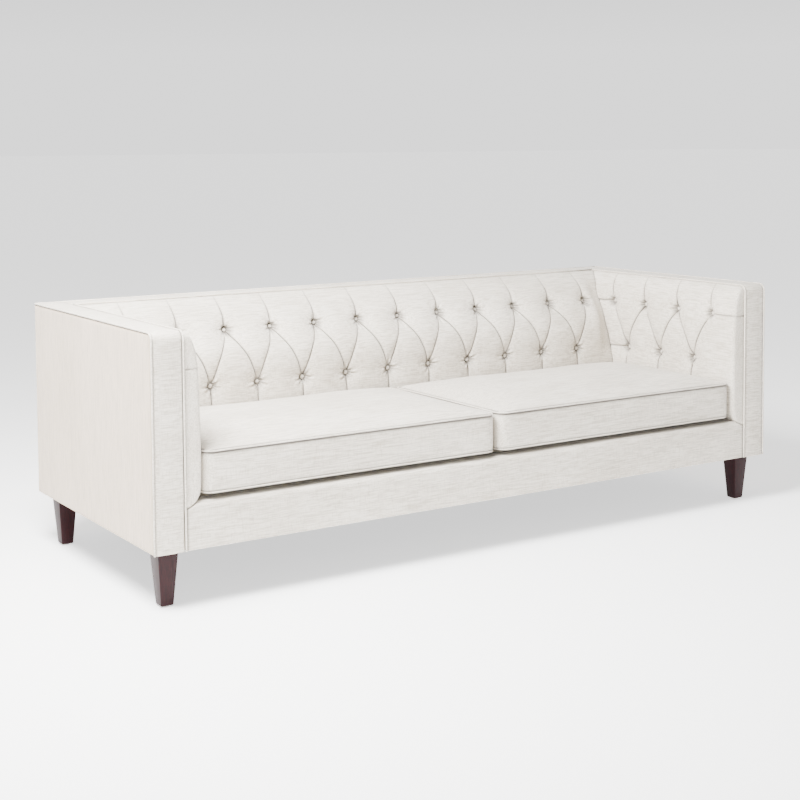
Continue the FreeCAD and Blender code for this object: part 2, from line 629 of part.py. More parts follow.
# Welts
def bead(path, diameter):
    """A welt along a path: a bead with eight sides, flat towards the pieces that it lies between."""
    first = path.Edges[0]
    start, along = first.valueAt(first.FirstParameter), first.tangentAt(first.FirstParameter)
    across = along.cross(AXIS_X if abs(along.x) < 0.5 else AXIS_Z).normalize()
    up = along.cross(across)
    reach = diameter / 2 / math.cos(math.pi / 8)
    rim = [start + (across * math.cos(angle) + up * math.sin(angle)) * reach
           for angle in (math.pi / 8 * (2 * step + 1) for step in range(8))]
    return path.makePipeShell([Part.makePolygon(rim + rim[:1])], True, False, 1)


def arm_welt(x, rear):
    """Up the front of an arm, round the corner and back along its top, at one X."""
    room = cell("welt_room")
    front, top = value(FRONT) + room / 2, value(TOP) - room / 2
    bend = cell("band_inner_radius") + cell("band_thickness") - room / 2
    foot = Vector(x, front, cell("leg_height"))
    turn_low, turn_high = Vector(x, front, top - bend), Vector(x, front + bend, top)
    middle = Vector(x, front + bend - bend * math.sqrt(0.5), top - bend + bend * math.sqrt(0.5))
    path = Part.Wire([Part.LineSegment(foot, turn_low).toShape(),
                      Part.Arc(turn_low, middle, turn_high).toShape(),
                      Part.LineSegment(turn_high, Vector(x, rear, top)).toShape()])
    return bead(path, room - 2 * cell("welt_slack"))


def back_welt(name, reach, y):
    """Along the back, on the edge of its top band."""
    room = cell("welt_room")
    ends = [Vector(way * reach, y, value(TOP) - room / 2) for way in (-1, 1)]
    feature(name, bead(Part.Wire([Part.LineSegment(*ends).toShape()]), room - 2 * cell("welt_slack")))


for word, side in SIDES:
    outer = value(SIDE) - cell("welt_room") / 2
    feature(f"{word}_arm_outer_welt", arm_welt(side * outer, value(BACK)))
    feature(f"{word}_arm_inner_welt", arm_welt(side * value(ARM_WELT), value(BACK_IN)))
back_welt("back_outer_welt", value(ARM_OUT), value(BACK) - cell("welt_room") / 2)
back_welt("back_inner_welt", value(ARM_WELT) - cell("welt_room") / 2, value(BACK) - cell("back_width"))


# Soft forms are skins of flat facets between rings of points
def skin(rings):
    """A closed solid through rings that have the same number of points, with flat ends."""
    faces = [Part.Face(Part.makePolygon(ring + ring[:1])) for ring in (rings[0], rings[-1])]
    for ring, after in zip(rings, rings[1:]):
        for i in range(len(ring)):
            j = (i + 1) % len(ring)
            corners = [ring[i], ring[j], after[j], after[i]]
            normal = (corners[1] - corners[0]).cross(corners[3] - corners[0]).normalize()
            if abs((corners[2] - corners[0]).dot(normal)) < 1e-6:
                faces.append(Part.Face(Part.makePolygon(corners + corners[:1])))
            else:
                faces.append(Part.Face(Part.makePolygon([ring[i], ring[j], after[j], ring[i]])))
                faces.append(Part.Face(Part.makePolygon([ring[i], after[j], after[i], ring[i]])))
    shell = Part.makeShell(faces)
    shell.sewShape()
    solid = Part.Solid(shell)
    if solid.Volume < 0:
        solid.reverse()
    return solid


# Deep tufted pads
CHORDS = 4


class TuftedPad:
    """A pad whose face is drawn in at two rows of buttons, with straight pleats above and below them.

    It starts where start(z) says and ends at one plane.

    Along the pad, each upper button has a fold with two lips. At a row of buttons the lips stand a
    button's seat apart, and away from it they close to a pleat. Between the rows they part, each
    towards the lower button beside it, and so draw diamonds. Where a side has no lower button
    (None), the lip stays and the face is smooth.
    """

    def __init__(self, start, end, uppers, lowers, upper_depth, lower_depth, end_pleats):
        self.start, self.end = start, end
        self.uppers, self.lowers = uppers, lowers
        self.upper_depth, self.lower_depth, self.end_pleats = upper_depth, lower_depth, end_pleats
        self.seat, self.pleat = cell("button_seat"), cell("pleat_width") / 2
        self.upper, self.lower = value(UPPER_ROW), value(LOWER_ROW)

    def half_fold(self, z, row):
        """Half the distance between two lips, a fold's or those of a lower button."""
        away = max(0, abs(z - row) - self.seat)
        return max(self.pleat, self.seat - away / 4)

    def lower_lips(self, half):
        lips = []
        for upper, before, after in zip(self.uppers, self.lowers, self.lowers[1:]):
            lips.append(upper - self.seat if before is None else before + half)
            lips.append(upper + self.seat if after is None else after - half)
        return lips

    def stops(self, z):
        """Distances along the pad of its ends and of all lips, at one height."""
        high, low = self.upper - self.seat, self.lower + self.seat
        if z > high:
            half = self.half_fold(z, self.upper)
            lips = [upper + way * half for upper in self.uppers for way in (-1, 1)]
        elif z < low:
            lips = self.lower_lips(self.half_fold(z, self.lower))
        else:
            share = (high - z) / (high - low)
            heads = [upper + way * self.seat for upper in self.uppers for way in (-1, 1)]
            lips = [head + (foot - head) * share for head, foot in zip(heads, self.lower_lips(self.seat))]
        return [self.start(z)] + lips + [self.end]

    def dip(self, z):
        """How far the folds lie under the puffs: all the way at a row, a pleat's depth away from it."""
        found = [cell("pleat_depth")]
        for row, depth in ((self.upper, self.upper_depth), (self.lower, self.lower_depth)):
            away = max(0, abs(z - row) - self.seat)
            found.append(depth * (1 - away / 50))
        return max(found)

    def dips(self, z, room):
        """The dip at each stop. Smooth sides and the ends have none, apart from end pleats at a row."""
        dip = min(self.dip(z), room)
        depths = []
        for before, after in zip(self.lowers, self.lowers[1:]):
            depths += [dip if z > self.upper - 2 * self.seat or side is not None else 0
                       for side in (before, after)]
        ends = [dip * any(abs(z - row) <= self.seat for row in rows) for rows in self.end_pleats]
        return ends[:1] + depths + ends[1:]

    def heights(self, top, foot, kink):
        """Section heights from the top seam down, close together where the face turns most."""
        above, middle = self.upper + self.seat, (self.upper + self.lower) / 2
        below = self.lower - self.seat
        return [top, kink, (2 * above + kink) / 3, above, self.upper - self.seat,
                (self.upper + middle) / 2, (self.lower + middle) / 2, self.lower + self.seat, below,
                below - 3 * self.seat]

    def section(self, z, reach, rear, place):
        """A ring of points: puffs between the stops on the face, then straight round the back."""
        stops = self.stops(z)
        dips = self.dips(z, (reach - rear) * 0.45)
        widest = max(after - here for here, after in zip(stops, stops[1:]))
        ring = []
        for i in range(len(stops) - 1):
            width, sunk = stops[i + 1] - stops[i], (dips[i] + dips[i + 1]) / 2
            puff = sunk * min(1, 1.8 * width / widest) if width > 2.2 * self.seat else 0
            if dips[0] and i == 0 or dips[-1] and i == len(stops) - 2:
                puff = 0
            for share in (step / CHORDS for step in range(CHORDS)):
                dip = dips[i] + (dips[i + 1] - dips[i]) * share - 4 * puff * share * (1 - share)
                ring.append(place(stops[i] + width * share, reach - max(0, dip), z))
        ring.append(place(stops[-1], reach - dips[-1], z))
        return ring + [place(stops[-1], rear, z), place(stops[0], rear, z)]

    def buttons(self, face, place):
        """Covered buttons, each standing square on its flat seat."""
        radius, height, gap = cell("button_diameter") / 2, cell("button_height"), cell("rest_gap")
        found = []
        for row, depth, spots in ((self.upper, self.upper_depth, self.uppers),
                                  (self.lower, self.lower_depth, self.lowers[1:-1])):
            for along in spots:
                over = place(along, face(row + self.seat) - depth, row + self.seat)
                under = place(along, face(row - self.seat) - depth, row - self.seat)
                out = place(along, 1, 0) - place(along, 0, 0)
                rise = (over - under).normalize()
                normal = (out - rise * out.dot(rise)).normalize()
                centre = (over + under) * 0.5 + normal * gap
                found.append(dome(centre, normal, radius, height))
        return found


def dome(centre, normal, radius, height, facets=12):
    """A covered button: flat below, a facetted slope up to a smaller flat crown."""
    across = normal.cross(AXIS_Z).normalize()
    up = normal.cross(across)
    rims = []
    for rise, reach in ((0, radius), (height, radius * 0.6)):
        rim = [centre + normal * rise + (across * math.cos(angle) + up * math.sin(angle)) * reach
               for angle in (2 * math.pi * step / facets for step in range(facets))]
        rims.append(rim)
    return skin(rims)


def seat_clearance():
    return value(SEAT_IN) - cell("rest_gap")


def arm_pad(word, side):
    start = value(FRONT) + cell("welt_room")
    end = value(PAD_BACK)
    pitch = cell("arm_button_pitch")
    uppers = [start + cell("arm_button_front") + pitch * i for i in range(int(cell("arm_upper_buttons")))]
    lowers = [None] + [upper + pitch / 2 for upper in uppers[:-1]] + [None]
    thickness, shoulder, tuck = cell("arm_pad_thickness"), cell("arm_pad_shoulder"), cell("arm_pad_tuck")
    top, foot, nose = value(PAD_TOP), value(PAD_FOOT), value(NOSE)

    def front(z):
        """The front end, rounded at its top like the band before it."""
        over = max(0, z - (top - nose))
        return start + nose - math.sqrt(max(0, nose * nose - over * over))

    end_pleats = ((value(UPPER_ROW),), (value(UPPER_ROW), value(LOWER_ROW)))
    depth = cell("arm_tuft_depth")
    form = TuftedPad(front, end, uppers, lowers, depth, depth, end_pleats)

    def face(z):
        """Reach from the arm's frame: rounded at the top, tucked in at the foot."""
        over = max(0, z - (top - shoulder)) / shoulder
        under = max(0, foot + tuck - z)
        return thickness - shoulder * (1 - math.sqrt(max(0, 1 - over * over))) - under

    def place(along, reach, z):
        return Vector(side * (value(ARM_IN) - reach), along, z)

    heights = [top, top - shoulder * 0.15, top - shoulder * 0.5] + form.heights(top, foot, top - shoulder)[1:]
    rings = [form.section(z, face(z), 0, place) for z in heights + [foot + tuck, foot]]
    feature(f"{word}_inside_arm_pad", skin(rings))
    feature(f"{word}_arm_buttons", Part.makeCompound(form.buttons(face, place)))


def back_pad():
    half = seat_clearance()
    count = int(cell("back_upper_buttons"))
    pitch = 2 * half / count
    uppers = [-half + pitch * (i + 0.5) for i in range(count)]
    lowers = [-half + pitch * i for i in range(count + 1)]
    form = TuftedPad(lambda z: -half, half, uppers, lowers,
                     cell("upper_tuft_depth"), cell("lower_tuft_depth"), ((), ()))
    top, foot = value(PAD_TOP), cell("deck_height") + cell("rest_gap")
    kink, rail_top, lean = value(UNDER_BOARD), value(RAIL_TOP), cell("spring_rail_setback")
    swell, belly = (2 * form.upper + form.lower) / 3, (form.upper + 2 * form.lower) / 3
    profile = ((top, cell("back_pad_top")), ((top + form.upper) / 2, cell("back_pad_shoulder")),
               (form.upper, cell("back_pad_upper")), (swell, cell("back_pad_swell")),
               (belly, cell("back_pad_lower")), (foot, cell("back_pad_lower")))

    def face(z):
        """Reach from the webbing's top, straight between the heights of the profile."""
        for (high, near), (low, far) in zip(profile, profile[1:]):
            if z >= low:
                return near + (far - near) * (high - z) / (high - low)
        return profile[-1][1]

    def rear(z):
        """Reach of the webbing that the pad lies on, which leans forward under the top board."""
        return cell("rest_gap") + lean * max(0, kink - z) / (kink - rail_top)

    def place(along, reach, z):
        return Vector(along, value(PAD_BACK) - reach, z)

    rings = [form.section(z, face(z), rear(z), place) for z in form.heights(top, foot, kink) + [foot]]
    feature("inside_back_pad", skin(rings))
    feature("back_buttons", Part.makeCompound(form.buttons(face, place)))


for word, side in SIDES:
    arm_pad(word, side)
back_pad()


# Loose seat cushions: foam core, cover, welts and zip
def cushion_outline(edges, z, inset, radius):
    """The plan of a cushion at one height: corners in four chords, and sides drawn in between them."""
    x0, x1, y0, y1 = (edges[0] + inset, edges[1] - inset, edges[2] + inset, edges[3] - inset)
    draw, quarter = cell("cushion_draw"), math.pi / 2
    corners = ((x0 + radius, y0 + radius), (x1 - radius, y0 + radius),
               (x1 - radius, y1 - radius), (x0 + radius, y1 - radius))
    draws = ((0, draw), (-draw, 0), None, (draw, 0))
    points = []
    for i, ((x, y), after) in enumerate(zip(corners, corners[1:] + corners[:1])):
        rim = [(x + radius * math.cos(angle), y + radius * math.sin(angle))
               for angle in (quarter * (i + 2 + step / 4) for step in range(5))]
        points += rim
        if draws[i]:
            end = (rim[-1][0] + after[0] - x, rim[-1][1] + after[1] - y)
            points += [(rim[-1][0] + (end[0] - rim[-1][0]) * share + draws[i][0],
                        rim[-1][1] + (end[1] - rim[-1][1]) * share + draws[i][1]) for share in (0.3, 0.7)]
    return [Vector(x, y, z) for x, y in points]


def cushion_levels():
    """Heights of the lower and the upper welt."""
    low = cell("deck_height") + cell("rest_gap") + cell("cushion_belly")
    return low, low + cell("cushion_boxing")


def cushion_form(edges, wall, boxed):
    """The crowned form of a cushion, or of what lies a wall's thickness inside it, with or without the
    swell of its boxing."""
    low, high = cushion_levels()
    middle, band = (low + high) / 2, cell("zip_tape_width") / 2 + 2
    bulge, corner, notch, crown = (cell("cushion_bulge"), cell("cushion_corner"), cell("cushion_welt"),
                                   cell("cushion_crown"))
    flat = (edges[3] - edges[2]) * 0.33
    levels = [(low - cell("cushion_belly") + wall, 70, corner), (low - notch / 2 + wall, bulge + notch, -1),
              (low + notch / 2 + wall, bulge, -1)]
    if boxed:
        levels += [(middle - band, 0, -1), (middle + band, 0, -1)]
    levels += [(high - notch / 2 - wall, bulge, -1), (high + notch / 2 - wall, bulge + notch, -1),
               (high + crown * 0.7 - wall, 70, corner), (high + crown - wall, flat, 2 * corner)]
    return skin([cushion_outline(edges, z, inset + wall, (corner - inset if radius < 0 else radius) - wall)
                 for z, inset, radius in levels])


def cushion_welt(edges, way):
    """A welt in the notch round the top (way 1) or the bottom (way -1) of a cushion."""
    level = cushion_levels()[1 if way > 0 else 0]
    notch, slack = cell("cushion_welt"), cell("welt_slack")
    radius = notch / 2 - slack
    stand = ((radius + slack) * math.sqrt(2) - notch / 2) / 2
    bulge, corner = cell("cushion_bulge"), cell("cushion_corner")
    route = cushion_outline(edges, level + way * stand, bulge - stand, corner - bulge + stand)
    return bead(Part.makePolygon(route[-2:] + route[:-1]), 2 * radius)


def cushion(word, side):
    gap = cell("cushion_side_gap")
    far = value(SEAT_IN) - gap
    edges = (gap / 2, far) if side > 0 else (-far, -gap / 2)
    rear = value(PAD_BACK) - cell("back_pad_lower") - gap
    edges += (value(FRONT) + cell("cushion_front_inset"), rear)
    cover, inside = cushion_form(edges, 0, True), cushion_form(edges, cell("cover_cloth"), False)
    feature(f"{word}_cushion_cover", cover.cut(inside))
    feature(f"{word}_cushion_core", cushion_form(edges, cell("cover_cloth") + cell("core_gap"), False))
    feature(f"{word}_cushion_top_welt", cushion_welt(edges, 1))
    feature(f"{word}_cushion_bottom_welt", cushion_welt(edges, -1))
    zip_fastener(word, side, "(sizes.deck_height + sizes.rest_gap + sizes.cushion_belly"
                             " + sizes.cushion_boxing / 2)")


def zip_fastener(word, side, middle):
    """Tape and coil on the back of a cushion, and the slider at the outer end of its run."""
    back = f"({PAD_BACK} - sizes.back_pad_lower - sizes.cushion_side_gap)"
    near, far = "sizes.cushion_side_gap / 2", f"({SEAT_IN} - sizes.cushion_side_gap)"
    centre = f"(({near} + {far}) / 2)"
    x0, x1 = mirrored(side, f"({centre} - sizes.zip_length / 2)", f"({centre} + sizes.zip_length / 2)")
    face, coil_top = f"({back} + sizes.zip_tape)", f"({back} + sizes.zip_tape + sizes.zip_coil)"
    tape = box(f"{word}_tape", (x0, back, f"{middle} - sizes.zip_tape_width / 2"),
               (x1, face, f"{middle} + sizes.zip_tape_width / 2"))
    coil = box(f"{word}_coil", (x0, face, f"{middle} - sizes.zip_coil_width / 2"),
               (x1, coil_top, f"{middle} + sizes.zip_coil_width / 2"))
    joined = doc.addObject("Part::Fuse", f"{word}_cushion_zip")
    joined.Base = tape
    joined.Tool = coil
    keep(joined, f"{word}_cushion_zip")
    parked = f"({centre} + sizes.zip_length / 2 - sizes.slider_length)"
    s0, s1 = mirrored(side, parked, f"({parked} + sizes.slider_length)")
    base = f"({coil_top} + sizes.welt_slack)"
    keep(box(f"{word}_zip_slider", (s0, base, f"{middle} - sizes.slider_width / 2"),
             (s1, f"({base} + sizes.slider_height)", f"{middle} + sizes.slider_width / 2")),
         f"{word}_zip_slider")


for word, side in SIDES:
    cushion(word, side)

# Checks, then one file for each sub-part
doc.recompute()
for piece in doc.Objects:
    if "Invalid" in piece.State or "Error" in piece.State:
        raise ValueError(f"{piece.Label} did not compute: {piece.State}")
total = 0
for piece in sub_parts:
    shape = piece.Shape
    if shape.isNull() or not shape.isValid() or not shape.Solids:
        raise ValueError(f"{piece.Label} has no valid solid")
    total += len(shape.Solids)

os.makedirs("parts", exist_ok=True)
for piece in sub_parts:
    piece.Shape.exportStep(f"parts/{piece.Label}.step")
print(f"{len(sub_parts)} sub-parts, {total} solids")
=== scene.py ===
import math
import random

import bmesh
import bpy
from mathutils import Matrix, Vector, noise


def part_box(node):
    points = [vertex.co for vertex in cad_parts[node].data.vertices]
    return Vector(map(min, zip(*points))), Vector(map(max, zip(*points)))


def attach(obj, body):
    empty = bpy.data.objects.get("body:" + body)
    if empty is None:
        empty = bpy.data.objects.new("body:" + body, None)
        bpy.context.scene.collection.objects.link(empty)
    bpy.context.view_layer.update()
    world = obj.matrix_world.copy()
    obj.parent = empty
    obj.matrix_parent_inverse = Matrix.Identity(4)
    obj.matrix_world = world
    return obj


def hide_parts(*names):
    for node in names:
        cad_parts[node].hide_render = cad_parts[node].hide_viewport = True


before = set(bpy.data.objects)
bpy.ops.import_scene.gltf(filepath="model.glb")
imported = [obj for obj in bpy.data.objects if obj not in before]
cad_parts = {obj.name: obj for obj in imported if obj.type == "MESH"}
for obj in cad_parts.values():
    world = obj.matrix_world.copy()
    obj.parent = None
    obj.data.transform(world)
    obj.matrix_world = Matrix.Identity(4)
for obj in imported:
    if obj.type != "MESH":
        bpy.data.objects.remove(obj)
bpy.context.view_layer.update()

# The sofa's own sizes, in millimetres, where the frame has them
SIDES = (("left", -1), ("right", 1))
ARM_OUT, ARM_IN = 1139, 1053
BACK, UNDERSIDE = 451, 161
PAD_TOP, PAD_REAR, DECK_TOP = 754, 356, 296.4
# Centre of the soft corner at the top of each arm's front: Y, Z
NOSE = (-426, 735)
SEAT_HALF = 999.7
# How thick the welts are, and how high those along the tops lie
WELT, WELT_TOP = 5.6, 757
UPPER_ROW, LOWER_ROW = 652, 486
BACK_PITCH, ARM_PITCH = 166.617, 171
BACK_UPPERS = [-SEAT_HALF + BACK_PITCH * (i + 0.5) for i in range(12)]
BACK_LOWERS = [-SEAT_HALF + BACK_PITCH * i for i in range(1, 12)]
ARM_UPPERS = [-320 + ARM_PITCH * i for i in range(4)]
ARM_LOWERS = [-234.5 + ARM_PITCH * i for i in range(3)]
# How deep each pad's upper and lower buttons lie under its puffs
BACK_DEPTHS, ARM_DEPTHS = (42, 24), (31, 33)


# Camera, light and floor
def photo_camera():
    """Stands where the photograph was taken from, a little over seat height and left of the front."""
    place = Vector((-2.7020, -4.0524, 1.2554))
    yaw, pitch, roll = 0.57613, 0.06598, -0.00600
    ahead = Vector((math.sin(yaw) * math.cos(pitch), math.cos(yaw) * math.cos(pitch), -math.sin(pitch)))
    level = Vector((math.cos(yaw), -math.sin(yaw), 0))
    above = level.cross(ahead)
    right = level * math.cos(roll) + above * math.sin(roll)
    up = above * math.cos(roll) - level * math.sin(roll)
    lens = bpy.data.cameras.new("photo_camera")
    lens.sensor_width = 36
    lens.lens = 66.79
    lens.shift_y = -0.20
    lens.dof.use_dof = False
    camera = bpy.data.objects.new("photo_camera", lens)
    camera.matrix_world = Matrix.Translation(place) @ Matrix((right, up, -ahead)).transposed().to_4x4()
    bpy.context.scene.collection.objects.link(camera)
    bpy.context.scene.camera = camera


def studio():
    """A pale floor that glows a little, a bright surround and two soft lights."""
    bm = bmesh.new()
    bmesh.ops.create_grid(bm, x_segments=1, y_segments=1, size=150)
    floor = bpy.data.objects.new("studio_floor", bpy.data.meshes.new("studio_floor"))
    bm.to_mesh(floor.data)
    bm.free()
    bpy.context.scene.collection.objects.link(floor)
    floor.data.materials.append(pale_floor())
    world = bpy.data.worlds.new("studio_surround")
    world.use_nodes = True
    surround = world.node_tree.nodes["Background"]
    surround.inputs["Color"].default_value = linear("#FFFFFF")
    # Brighter along the horizon than overhead, as in a white studio with its ceiling lights low
    way = add(world, "ShaderNodeTexCoord").outputs["Generated"]
    height = add(world, "ShaderNodeSeparateXYZ", {0: way}).outputs["Z"]
    glow = add(world, "ShaderNodeMapRange", {"Value": height, "From Min": 0.06, "From Max": 0.24,
                                             "To Min": 1.7, "To Max": 0.66})
    world.node_tree.links.new(glow.outputs[0], surround.inputs["Strength"])
    bpy.context.scene.world = world
    for name, place, size, power in (("overhead_softbox", (-1.8, -0.8, 2.7), 1.2, 560),
                                     ("front_left_softbox", (-3.4, -4.6, 2.2), 1.2, 45)):
        lamp = bpy.data.lights.new(name, "AREA")
        lamp.size = size
        lamp.energy = power
        light = bpy.data.objects.new(name, lamp)
        aim = Vector((0, 0, 0.4)) - Vector(place)
        light.matrix_world = Matrix.Translation(place) @ aim.to_track_quat("-Z", "Y").to_matrix().to_4x4()
        bpy.context.scene.collection.objects.link(light)


# Finishes
def linear(shade):
    """An sRGB hex colour as the linear one that a shader takes."""
    parts = [int(shade[i:i + 2], 16) / 255 for i in (1, 3, 5)]
    return [p / 12.92 if p <= 0.04045 else ((p + 0.055) / 1.055) ** 2.4 for p in parts] + [1]


def add(finish, kind, inputs=None, **settings):
    """Add one node. An input that is given an output is linked, and any other is set."""
    made = finish.node_tree.nodes.new(kind)
    for setting, value in settings.items():
        setattr(made, setting, value)
    for socket, value in (inputs or {}).items():
        if isinstance(value, bpy.types.NodeSocket):
            finish.node_tree.links.new(value, made.inputs[socket])
        else:
            made.inputs[socket].default_value = value
    return made


def new_finish(name, **shader):
    """A material with one surface shader, and that shader."""
    finish = bpy.data.materials.new(name)
    finish.use_nodes = True
    surface = finish.node_tree.nodes["Principled BSDF"]
    for socket, value in shader.items():
        surface.inputs[socket.replace("_", " ")].default_value = value
    return finish, surface


def threads(finish, run, run_mm, cross_mm, detail=2):
    """Noise drawn out along one axis: run_mm long and cross_mm thick, as threads and slubs lie."""
    where = add(finish, "ShaderNodeTexCoord").outputs["Object"]
    scale = [1000 / (run_mm if axis == run else cross_mm) for axis in "xyz"]
    laid = add(finish, "ShaderNodeMapping", {"Vector": where, "Scale": scale})
    return add(finish, "ShaderNodeTexNoise",
               {"Vector": laid.outputs["Vector"], "Scale": 1.0, "Detail": detail, "Roughness": 0.55})


def slub_linen(name, run, light, dark):
    """Linen-look polyester cloth, plain woven from uneven yarn and piece dyed.

    It gives the eye a dull, slightly fuzzy surface with thin slubs 20 to 90 mm long along the weft.
    Single threads are 0.5 mm and too fine to show, so the weave is drawn at 1.3 mm.
    """
    finish, surface = new_finish(name, Roughness=0.88, IOR=1.46, Sheen_Weight=0.22, Sheen_Roughness=0.5)
    links = finish.node_tree.links
    long_slubs = threads(finish, run, 70, 2.6, 3)
    short_slubs = threads(finish, run, 18, 1.6, 2)
    cloud = threads(finish, run, 260, 120, 2)
    crossing = threads(finish, "x" if run == "z" else "z", 26, 1.7, 2)
    weft, warp = threads(finish, run, 9, 1.3, 1), threads(finish, run, 1.3, 9, 1)
    share = None
    # How much of the darker yarn each unevenness brings in: noise, where it starts and ends, the most
    for source, start, end, most in ((long_slubs, 0.44, 0.62, 0.6), (short_slubs, 0.5, 0.75, 0.5),
                                     (cloud, 0.3, 0.7, 0.25), (crossing, 0.52, 0.7, 0.45)):
        part = add(finish, "ShaderNodeMapRange", {"Value": source.outputs["Fac"], "From Min": start,
                                                  "From Max": end, "To Min": 0.0, "To Max": most}).outputs[0]
        if share is not None:
            part = add(finish, "ShaderNodeMath", {0: share, 1: part}, operation="ADD",
                       use_clamp=source is crossing).outputs[0]
        share = part
    colour = add(finish, "ShaderNodeMix", {"Factor": share}, data_type="RGBA")
    lit, dim = [s for s in colour.inputs if s.type == "RGBA"]
    lit.default_value, dim.default_value = linear(light), linear(dark)
    # Seams and folds, marked on the mesh, get painted shade: their colour is darkened where light hardly
    # reaches in
    fold = add(finish, "ShaderNodeAttribute", attribute_name="fold")
    shaded = add(finish, "ShaderNodeMix", {"Factor": fold.outputs["Fac"]}, data_type="RGBA")
    inner, outer = [s for s in shaded.inputs if s.type == "RGBA"]
    links.new(next(s for s in colour.outputs if s.type == "RGBA"), inner)
    # 332C25 is the painted shade tone that a full fold mark reaches
    outer.default_value = linear("#332C25")
    links.new(next(s for s in shaded.outputs if s.type == "RGBA"), surface.inputs["Base Color"])
    cloth = add(finish, "ShaderNodeMath", {0: weft.outputs["Fac"], 1: warp.outputs["Fac"]}, operation="ADD")
    raised = add(finish, "ShaderNodeMath", {0: long_slubs.outputs["Fac"], 1: cloth.outputs[0]},
                 operation="ADD")
    relief = add(finish, "ShaderNodeBump",
                 {"Height": raised.outputs[0], "Strength": 0.35, "Distance": 0.0006})
    links.new(relief.outputs["Normal"], surface.inputs["Normal"])
    return finish


def toned(finish, surface, share, dark, light, height, strength, depth):
    """Give a surface two tones by a share, and a slight relief by a height."""
    tone = add(finish, "ShaderNodeValToRGB", {"Fac": share})
    for stop, (place, shade) in zip(tone.color_ramp.elements, (dark, light)):
        stop.position, stop.color = place, linear(shade)
    finish.node_tree.links.new(tone.outputs["Color"], surface.inputs["Base Color"])
    relief = add(finish, "ShaderNodeBump", {"Height": height, "Strength": strength, "Distance": depth})
    finish.node_tree.links.new(relief.outputs["Normal"], surface.inputs["Normal"])
    return finish


def stained_beech():
    """Beech legs, planed, stained dark red-brown and sprayed with satin lacquer.

    The stain hides all but a faint straight grain, about 3 mm wide, under an even soft shine.
    """
    finish, surface = new_finish("stained_beech", Roughness=0.45, IOR=1.5, Specular_IOR_Level=0.16)
    grain, pores = threads(finish, "z", 140, 3.2, 4), threads(finish, "z", 12, 0.7, 2)
    mixed = add(finish, "ShaderNodeMath", {0: grain.outputs["Fac"], 1: pores.outputs["Fac"]},
                operation="MULTIPLY")
    return toned(finish, surface, mixed.outputs[0], (0.14, "#150205"), (0.42, "#2B060B"),
                 pores.outputs["Fac"], 0.12, 0.0002)


def two_tone(name, run, run_mm, cross_mm, light, dark, depth, **shader):
    """A finish whose grain, weave or drawn lines run one way, in two tones and a slight relief."""
    finish, surface = new_finish(name, **shader)
    lines = threads(finish, run, run_mm, cross_mm, 3).outputs["Fac"]
    return toned(finish, surface, lines, (0.35, dark), (0.65, light), lines, 0.4, depth)


def pale_floor():
    """Painted studio board: matt and even, with a trace of roller stipple about 4 mm wide.

    Its own glow stands for the light that a white studio throws back at the floor.
    """
    return two_tone("painted_studio_board", "x", 4, 4, "#F8F8F7", "#F5F5F4", 0.0002, Roughness=0.75,
                    Emission_Color=linear("#FFFFFF"), Emission_Strength=1.15)


# Ivory cloth lies with its weft along X on fronts, seats and back, and along Y inside the arms. The
# outsides are the same cloth, railroaded so that its slubs stand up; their warmer beige is painted light for
# warm bounced light.
linen = slub_linen("ivory_linen_weft_x", "x", "#DFD8CC", "#AFA596")
linen_inside_arm = slub_linen("ivory_linen_weft_y", "y", "#DFD8CC", "#AFA596")
linen_outside = slub_linen("beige_linen_weft_z", "z", "#CFBDA8", "#AE9C86")
beech = stained_beech()
# Sawn beech and poplar of the frame: pale, dry, grain about 4 mm wide
frame_wood = two_tone("sawn_beech", "x", 220, 4, "#C9A87C", "#B08C5F", 0.0003, Roughness=0.7, IOR=1.5)
# Tempered wire, drawn and oiled: fine draw lines along it
spring_steel = two_tone("oiled_spring_steel", "y", 30, 0.6, "#8A8A88", "#6F6F6E", 0.0001, Roughness=0.35,
                        Metallic=1.0)
# Jute webbing: coarse brown yarn about 2 mm thick
jute = two_tone("woven_jute", "x", 6, 2, "#B99B6B", "#94764A", 0.0008, Roughness=0.95, IOR=1.46)
# Cut polyurethane foam: pale yellow open cells about 1 mm across
foam = two_tone("cut_foam", "x", 1, 1, "#EFE6C4", "#DFD3A9", 0.0005, Roughness=0.95, IOR=1.46)
# Spun-bonded cambric: thin black felted fibres
cambric = two_tone("black_cambric", "x", 5, 1.5, "#242425", "#161617", 0.0003, Roughness=0.95, IOR=1.46)
# Deck cloth: plain woven cotton, flat and dull, threads drawn at 1.5 mm
deck_cloth = two_tone("cotton_deck_cloth", "x", 14, 1.5, "#DAD5CA", "#C8C2B5", 0.0004, Roughness=0.95,
                      IOR=1.46)
# Moulded polyester zip: chain and tape in one pale dye, links about 1.4 mm apart
zip_tape = two_tone("polyester_zip", "z", 20, 1.4, "#E2DDD2", "#CFC9BC", 0.0005, Roughness=0.6, IOR=1.5)
# Die-cast zinc slider, nickel plated: bright with fine tumbling marks
zinc = two_tone("plated_zinc", "x", 2, 1, "#B9B8B4", "#A6A5A1", 0.0001, Roughness=0.3, Metallic=1.0)
# Turned nylon glide: off-white, smooth, slightly waxy
nylon = two_tone("moulded_nylon", "x", 3, 3, "#D9D6CE", "#D2CFC6", 0.0001, Roughness=0.45, IOR=1.53)


